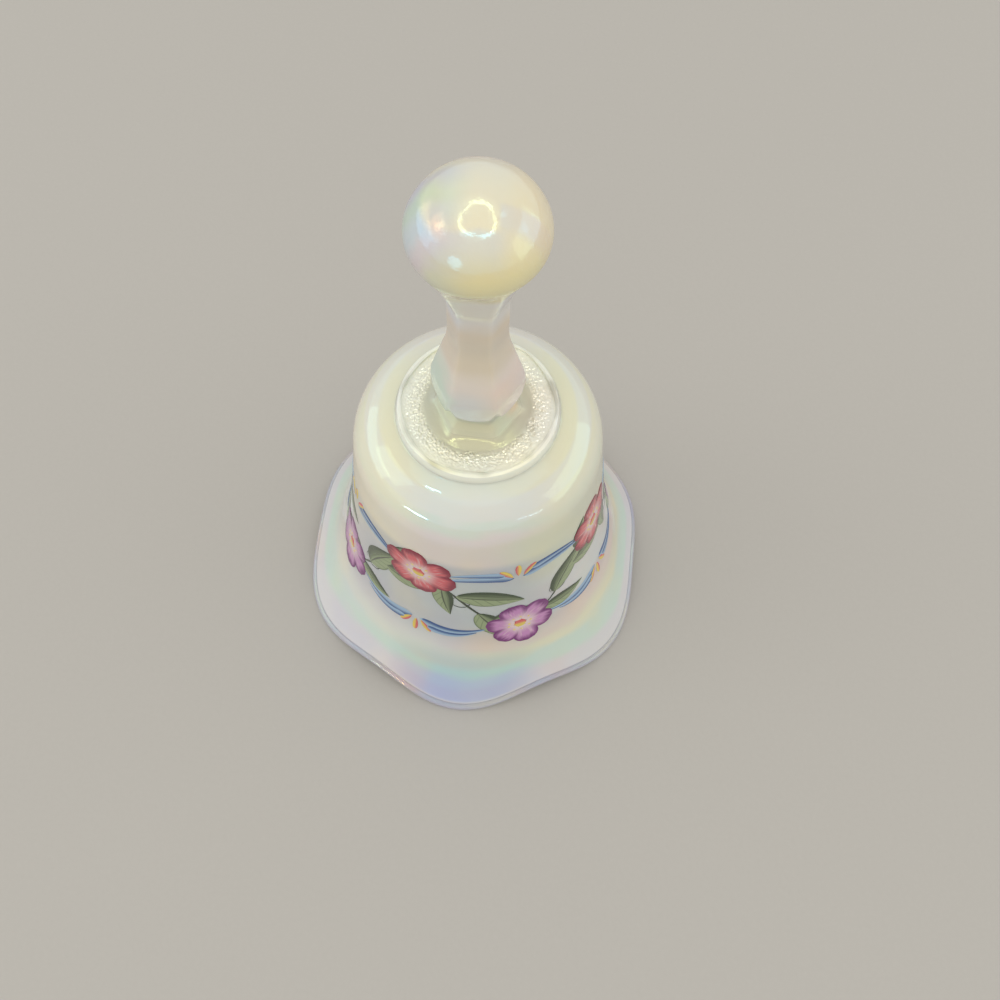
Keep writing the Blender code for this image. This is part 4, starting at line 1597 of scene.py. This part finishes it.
class BELL_OT_flowers(bpy.types.Operator):
    """Paint the flowers, their centres and the dots round them"""

    bl_idname = "glass_bell.flowers"
    bl_label = "Painted Flowers"

    def execute(self, context):
        sizes, garland, colours = settings_of(context)
        chance = random.Random(garland.seed)
        red, violet, dots, hearts = (Paint(sizes, garland.paint_height) for _ in range(4))
        for spot, is_red in flower_spots(garland):
            paint = red if is_red else violet
            first = chance.uniform(0, math.tau)
            for i in range(garland.petals):
                heading = first + math.tau * i / garland.petals + chance.uniform(-0.06, 0.06)
                reach = garland.flower_radius * chance.uniform(0.80, 0.90)
                start = pointing(heading) * garland.flower_radius * 0.13
                half = garland.petal_width * chance.uniform(0.92, 1.08)
                line = curve_from(start, heading, reach, chance.uniform(-0.25, 0.25))
                paint.stroke(spot, line, petal_width(half), chance.random(), layer=1.5 + i % 2)
            hearts.dot(spot, Vector((0.0, 0.0)), garland.flower_radius * 0.17, chance.random())
            for i in range(FLOWER_DOTS):
                angle = math.tau * (i + chance.uniform(-0.2, 0.2)) / FLOWER_DOTS
                ring = garland.flower_radius * chance.uniform(0.27, 0.33)
                radius = chance.uniform(0.32, 0.46) * MM
                dots.dot(spot, pointing(angle) * ring, radius, chance.random())
        enamel = petal_finish("red_petal_enamel", colours, colours.coral, colours.crimson)
        red.finish("red_petals", enamel)
        enamel = petal_finish("violet_petal_enamel", colours, colours.lilac, colours.plum)
        violet.finish("violet_petals", enamel)
        hearts.finish("flower_hearts", stroke_finish("heart_enamel", colours.lemon, colours.coral))
        dots.finish("flower_dots", stroke_finish("dot_enamel", colours.ivory, colours.lemon))
        return {"FINISHED"}


class BELL_OT_leaves(bpy.types.Operator):
    """Paint the vine, its tendrils and its leaves"""

    bl_idname = "glass_bell.leaves"
    bl_label = "Painted Leaves"

    def execute(self, context):
        sizes, garland, colours = settings_of(context)
        chance = random.Random(garland.seed + 1)
        vine = Paint(sizes, garland.paint_height)
        leaves = Paint(sizes, garland.paint_height)
        for i in range(2 * garland.waves):
            self.paint_vine(vine, sizes, garland, i / 2)
            slope = VINE_SLOPE if i % 2 else -VINE_SLOPE
            middle = i / 2 + QUARTER_WAVE
            for side, along, size in LEAVES:
                place = vine_spot(garland, middle + along)
                heading = slope + side * chance.uniform(0.55, 0.8)
                if abs(along) > 0.1:
                    heading = slope + side * chance.uniform(0.9, 1.2)
                reach = garland.leaf_length * size * chance.uniform(0.92, 1.05)
                bend = -side * chance.uniform(0.35, 0.7)
                line = curve_from(Vector((0.0, 0.0)), heading, reach, bend)
                width = leaf_width(garland.leaf_width * size)
                leaves.stroke(place, line, width, chance.random(), steps=(20, 8))
            for side in (1, -1):
                heading = slope + side * chance.uniform(1.5, 1.9)
                bend = side * chance.uniform(2.6, 3.6)
                line = curve_from(Vector((0.0, 0.0)), heading, TENDRIL_REACH, bend)
                width = brush_width(garland.vine_width * 0.7)
                place = vine_spot(garland, middle)
                vine.stroke(place, line, width, chance.random(), steps=(26, 2))
        vine.finish("painted_vine", stroke_finish("vine_enamel", colours.moss, colours.ink))
        leaves.finish("painted_leaves", leaf_finish(colours))
        return {"FINISHED"}

    def paint_vine(self, vine, sizes, garland, start):
        """Paint the half wave of the vine between two flowers."""
        middle = vine_spot(garland, start + QUARTER_WAVE)

        def line(part):
            azimuth, height = vine_spot(garland, start + VINE_START + VINE_RUN * part)
            return Vector(((azimuth - middle[0]) * bell_radius(sizes, height), height - middle[1]))

        def width(part):
            return garland.vine_width * (0.75 + 0.5 * math.sin(math.pi * part))

        vine.stroke(middle, line, width, 0.5, steps=(24, 2))


class BELL_OT_scrolls(bpy.types.Operator):
    """Paint the blue strokes and the sprays of yellow buds"""

    bl_idname = "glass_bell.scrolls"
    bl_label = "Painted Scrolls"

    def execute(self, context):
        sizes, garland, colours = settings_of(context)
        chance = random.Random(garland.seed + 2)
        blue = Paint(sizes, garland.paint_height)
        buds = Paint(sizes, garland.paint_height)
        for (azimuth, _), is_red in flower_spots(garland):
            away = -1 if is_red else 1
            spot = (azimuth, garland.middle + away * garland.swing * 0.9)
            for side in (1, -1):
                for i, gap in enumerate((0.0, 2.2)):
                    start = Vector((side * (1.2 + gap) * MM, away * (2.2 + 1.2 * gap) * MM))
                    heading = 0.0 if side > 0 else math.pi
                    reach = garland.scroll_length * (1.0 - 0.28 * i)
                    bend = -away * side * chance.uniform(0.75, 0.95)
                    line = curve_from(start, heading + away * side * 0.35, reach, bend)
                    width = brush_width(garland.scroll_width * (1 - 0.2 * i))
                    blue.stroke(spot, line, width, chance.random(), layer=i, steps=(22, 4))
            for turn_by in (-0.5, 0.0, 0.5):
                heading = away * math.pi / 2 + turn_by
                start = pointing(heading) * 3.2 * MM
                line = curve_from(start, heading, garland.bud_length, turn_by * 0.6)
                buds.stroke(spot, line, petal_width(BUD_HALF_WIDTH), chance.random(), layer=1)
        blue.finish("blue_strokes", stroke_finish("blue_enamel", colours.ribbon, colours.cobalt))
        buds.finish("yellow_buds", stroke_finish("bud_enamel", colours.lemon, colours.coral))
        return {"FINISHED"}


# Each lamp's name, shape, azimuth and elevation in degrees, width and height in metres, radiance.
LAMPS = (
    ("overhead", "DISK", -90.0, 80.0, 1.60, 1.60, 0.30),
    ("left_softbox", "RECTANGLE", -173.0, 31.0, 0.70, 0.70, 0.7),
    ("left_wall", "RECTANGLE", 170.0, 12.0, 1.10, 0.50, 0.8),
    ("right_wall", "RECTANGLE", -5.0, 14.0, 1.40, 0.80, 0.7),
)
HANDLE_LAMPS = (
    ("left_window", "RECTANGLE", -174.0, 36.0, 0.22, 0.34, 1.8),
    ("right_window", "RECTANGLE", 0.0, 57.0, 0.20, 0.16, 1.1),
    ("low_right_window", "RECTANGLE", -3.0, 23.0, 0.20, 0.24, 0.8),
    ("low_left_window", "DISK", -122.0, 12.0, 0.42, 0.42, 1.9),
)
# Each streak's name, azimuth and elevation at both ends in degrees, width in metres, radiance.
STREAKS = (
    ("high_streak", -153.6, 59.7, -138.9, 64.9, 0.026, 26.0),
    ("high_streak_inner", -152.5, 55.6, -141.0, 59.4, 0.020, 18.0),
    ("low_streak", -144.0, -1.6, -126.0, 0.4, 0.040, 26.0),
    ("low_streak_inner", -136.0, -6.6, -124.0, -4.6, 0.026, 15.0),
    ("right_streak", -62.0, 9.0, -42.0, 3.0, 0.030, 3.0),
)
# The ring of lamps over the camera, in degrees and metres. It reaches further out at its corners,
# and its lamps are wider there.
RING_LAMPS = 12
RING_SPREAD = 23.5
RING_ELEVATION = 78.0
RING_RADIANCE = 4.6
RING_WIDTH = 0.075
RING_CORNERS = 3
RING_CORNER_TURN = 51.0
RING_SWELL = 0.10
RING_WIDENING = 0.45
LAMP_DISTANCE = 1.3
LAMP_TARGET = Vector((0.0, 0.0, 0.1))
WARM_WHITE = (1.0, 0.965, 0.895)
HANDLE_LIGHT = "lit_as_handle"
BELL_LIGHT = "lit_as_bell"


def direction(azimuth, elevation):
    """Return the unit vector at an azimuth and an elevation in degrees."""
    around = math.radians(azimuth)
    up = math.radians(elevation)
    level = math.cos(up)
    return Vector((level * math.cos(around), level * math.sin(around), math.sin(up)))


class BELL_OT_stage(bpy.types.Operator):
    """Make the floor, the sky, the lamps and the camera"""

    bl_idname = "glass_bell.stage"
    bl_label = "Stage"

    def execute(self, context):
        settings = context.scene.stage_settings
        colours = context.scene.finish_colours
        self.make_floor(settings, colours)
        self.make_sky(context.scene, settings, colours)
        for lamp in LAMPS:
            self.make_lamp(settings, *lamp)
        handle_lamps = [self.make_lamp(settings, *lamp) for lamp in HANDLE_LAMPS]
        self.light_only(HANDLE_LIGHT, handle_lamps + self.make_ring_lamp(settings))
        streaks = []
        for name, azimuth, elevation, last_azimuth, last_elevation, width, radiance in STREAKS:
            ends = direction(azimuth, elevation), direction(last_azimuth, last_elevation)
            streaks.append(self.make_strip(settings, name, *ends, width, radiance))
        self.light_only(BELL_LIGHT, streaks)
        self.make_camera(context.scene, settings)
        context.scene.view_settings.view_transform = "Standard"
        return {"FINISHED"}

    def light_only(self, name, lamps):
        """Let lamps light only the pieces of a collection, which is new."""
        lit = bpy.data.collections.new(name)
        for lamp in lamps:
            lamp.light_linking.receiver_collection = lit

    def make_floor(self, settings, colours):
        """Make the plain floor that the bell stands on."""
        material, finish = new_finish("plain_floor")
        place = finish.place()
        paper = finish.clouds(place, 1.4 * MM, 4.0)
        finish.close(finish.principled(
            base_color=finish.mixed(paper, colours.floor, toned(0.96, colours.floor)),
            roughness=0.85,
            normal=finish.bump(paper, 0.03 * MM),
        ))
        shape = bmesh.new()
        bmesh.ops.create_grid(shape, x_segments=1, y_segments=1, size=settings.floor_size)
        mesh = bpy.data.meshes.new("floor")
        shape.to_mesh(mesh)
        shape.free()
        mesh.materials.append(material)
        floor = bpy.data.objects.new("floor", mesh)
        bpy.context.scene.collection.objects.link(floor)

    def make_sky(self, scene, settings, colours):
        """Light the bell evenly from all round, and show the camera and the gloss a pale sky."""
        world = bpy.data.worlds.new("studio")
        world.use_nodes = True
        scene.world = world
        sky = Finish(world.node_tree)
        path = sky.node("ShaderNodeLightPath", output="Is Camera Ray")
        rays = path.output.node.outputs
        seen = path + Socket(sky, rays["Is Glossy Ray"]) + Socket(sky, rays["Is Transmission Ray"])
        seen = sky.maths("MINIMUM", seen, 1.0)
        light, pale = (
            sky.node("ShaderNodeBackground", inputs={"Color": (*colour, 1.0), "Strength": level})
            for colour, level in ((WARM_WHITE, settings.sky_level), (colours.backdrop, 1.0))
        )
        sky.close(sky.mixed_shaders(seen, light, pale), "ShaderNodeOutputWorld")

    def make_ring_lamp(self, settings):
        """Return the short lamps of a rounded ring over the camera, which the knob mirrors."""
        ring = []
        for i in range(RING_LAMPS):
            ends = self.ring_direction(i - 0.5), self.ring_direction(i + 0.5)
            width = RING_WIDTH * (1 + RING_WIDENING * self.ring_corner(i))
            ring.append(self.make_strip(settings, f"ring_{i}", *ends, width, RING_RADIANCE))
        return ring

    def ring_corner(self, place):
        """Return 1 at a corner of the ring and -1 halfway between two corners."""
        around = math.tau * place / RING_LAMPS - math.radians(RING_CORNER_TURN)
        return math.cos(RING_CORNERS * around)

    def ring_direction(self, place):
        """Return the direction in which a place on the ring lies."""
        middle = direction(-90.0, RING_ELEVATION)
        across = direction(-90.0, RING_ELEVATION - 90.0)
        spoke = Matrix.Rotation(math.tau * place / RING_LAMPS, 3, middle) @ across
        spread = math.radians(RING_SPREAD) * (1 + RING_SWELL * self.ring_corner(place))
        return middle * math.cos(spread) + spoke * math.sin(spread)

    def make_lamp(self, settings, name, shape, azimuth, elevation, width, height, radiance):
        """Return a soft lamp that faces the bell from an azimuth and an elevation."""
        outward = direction(azimuth, elevation)
        return self.place_lamp(settings, name, outward, radiance, width, height, shape)

    def make_strip(self, settings, name, first, last, width, radiance):
        """Return a thin lamp that faces the bell and reaches from one direction to another."""
        outward = (first + last).normalized()
        span = LAMP_DISTANCE * (last - first).length
        lamp = self.place_lamp(settings, name, outward, radiance, span, width)
        along = last - first
        side = (along - outward * along.dot(outward)).normalized()
        lamp.rotation_euler = Matrix((side, outward.cross(side), outward)).transposed().to_euler()
        return lamp

    def place_lamp(self, settings, name, outward, radiance, width, height, shape="RECTANGLE"):
        """Return a lamp of a radiance that faces the bell from a direction."""
        data = bpy.data.lights.new(name, "AREA")
        data.color = WARM_WHITE
        data.shape = shape
        data.size = width
        if shape == "RECTANGLE":
            data.size_y = height
        area = width * height if shape == "RECTANGLE" else math.pi * width ** 2 / 4
        data.energy = settings.lamp_level * radiance * math.pi * area
        lamp = bpy.data.objects.new(name, data)
        lamp.location = LAMP_TARGET + outward * LAMP_DISTANCE
        lamp.rotation_euler = outward.to_track_quat("Z", "Y").to_euler()
        lamp.visible_camera = False
        bpy.context.scene.collection.objects.link(lamp)
        return lamp

    def make_camera(self, scene, settings):
        """Make the camera and use it."""
        data = bpy.data.cameras.new("camera")
        data.sensor_width = 36.0
        data.lens = settings.camera_lens
        data.shift_x = settings.camera_shift
        camera = bpy.data.objects.new("camera", data)
        camera.location = (0.0, -settings.camera_distance, settings.camera_height)
        camera.rotation_euler = (math.pi / 2 - settings.camera_pitch, 0.0, 0.0)
        scene.collection.objects.link(camera)
        scene.camera = camera


OPERATORS = (
    BELL_OT_stage,
    BELL_OT_body,
    BELL_OT_handle,
    BELL_OT_crown,
    BELL_OT_chain,
    BELL_OT_clapper,
    BELL_OT_flowers,
    BELL_OT_leaves,
    BELL_OT_scrolls,
)


class BELL_PT_panel(bpy.types.Panel):
    """Lists what makes the glass bell"""

    bl_idname = "BELL_PT_panel"
    bl_label = "Glass Table Bell"
    bl_space_type = "VIEW_3D"
    bl_region_type = "UI"
    bl_category = "Bell"

    def draw(self, context):
        for operator in OPERATORS:
            self.layout.operator(operator.bl_idname)
        for name, group in SETTINGS:
            box = self.layout.box()
            box.label(text=group.__name__)
            for field in group.__annotations__:
                box.prop(getattr(context.scene, name), field)


def register():
    """Register the settings, the operators and the panel."""
    for name, group in SETTINGS:
        bpy.utils.register_class(group)
        setattr(bpy.types.Scene, name, PointerProperty(type=group))
    for operator in OPERATORS:
        bpy.utils.register_class(operator)
    bpy.utils.register_class(BELL_PT_panel)


def unregister():
    """Take back what register did."""
    bpy.utils.unregister_class(BELL_PT_panel)
    for operator in reversed(OPERATORS):
        bpy.utils.unregister_class(operator)
    for name, group in reversed(SETTINGS):
        delattr(bpy.types.Scene, name)
        bpy.utils.unregister_class(group)


def main():
    """Build the bell and its stage."""
    register()
    # The stage comes first, because the glass joins the collections that its lamps light.
    bpy.ops.glass_bell.stage()
    bpy.ops.glass_bell.body()
    bpy.ops.glass_bell.handle()
    bpy.ops.glass_bell.crown()
    bpy.ops.glass_bell.chain()
    bpy.ops.glass_bell.clapper()
    bpy.ops.glass_bell.flowers()
    bpy.ops.glass_bell.leaves()
    bpy.ops.glass_bell.scrolls()


if __name__ == "__main__":
    main()
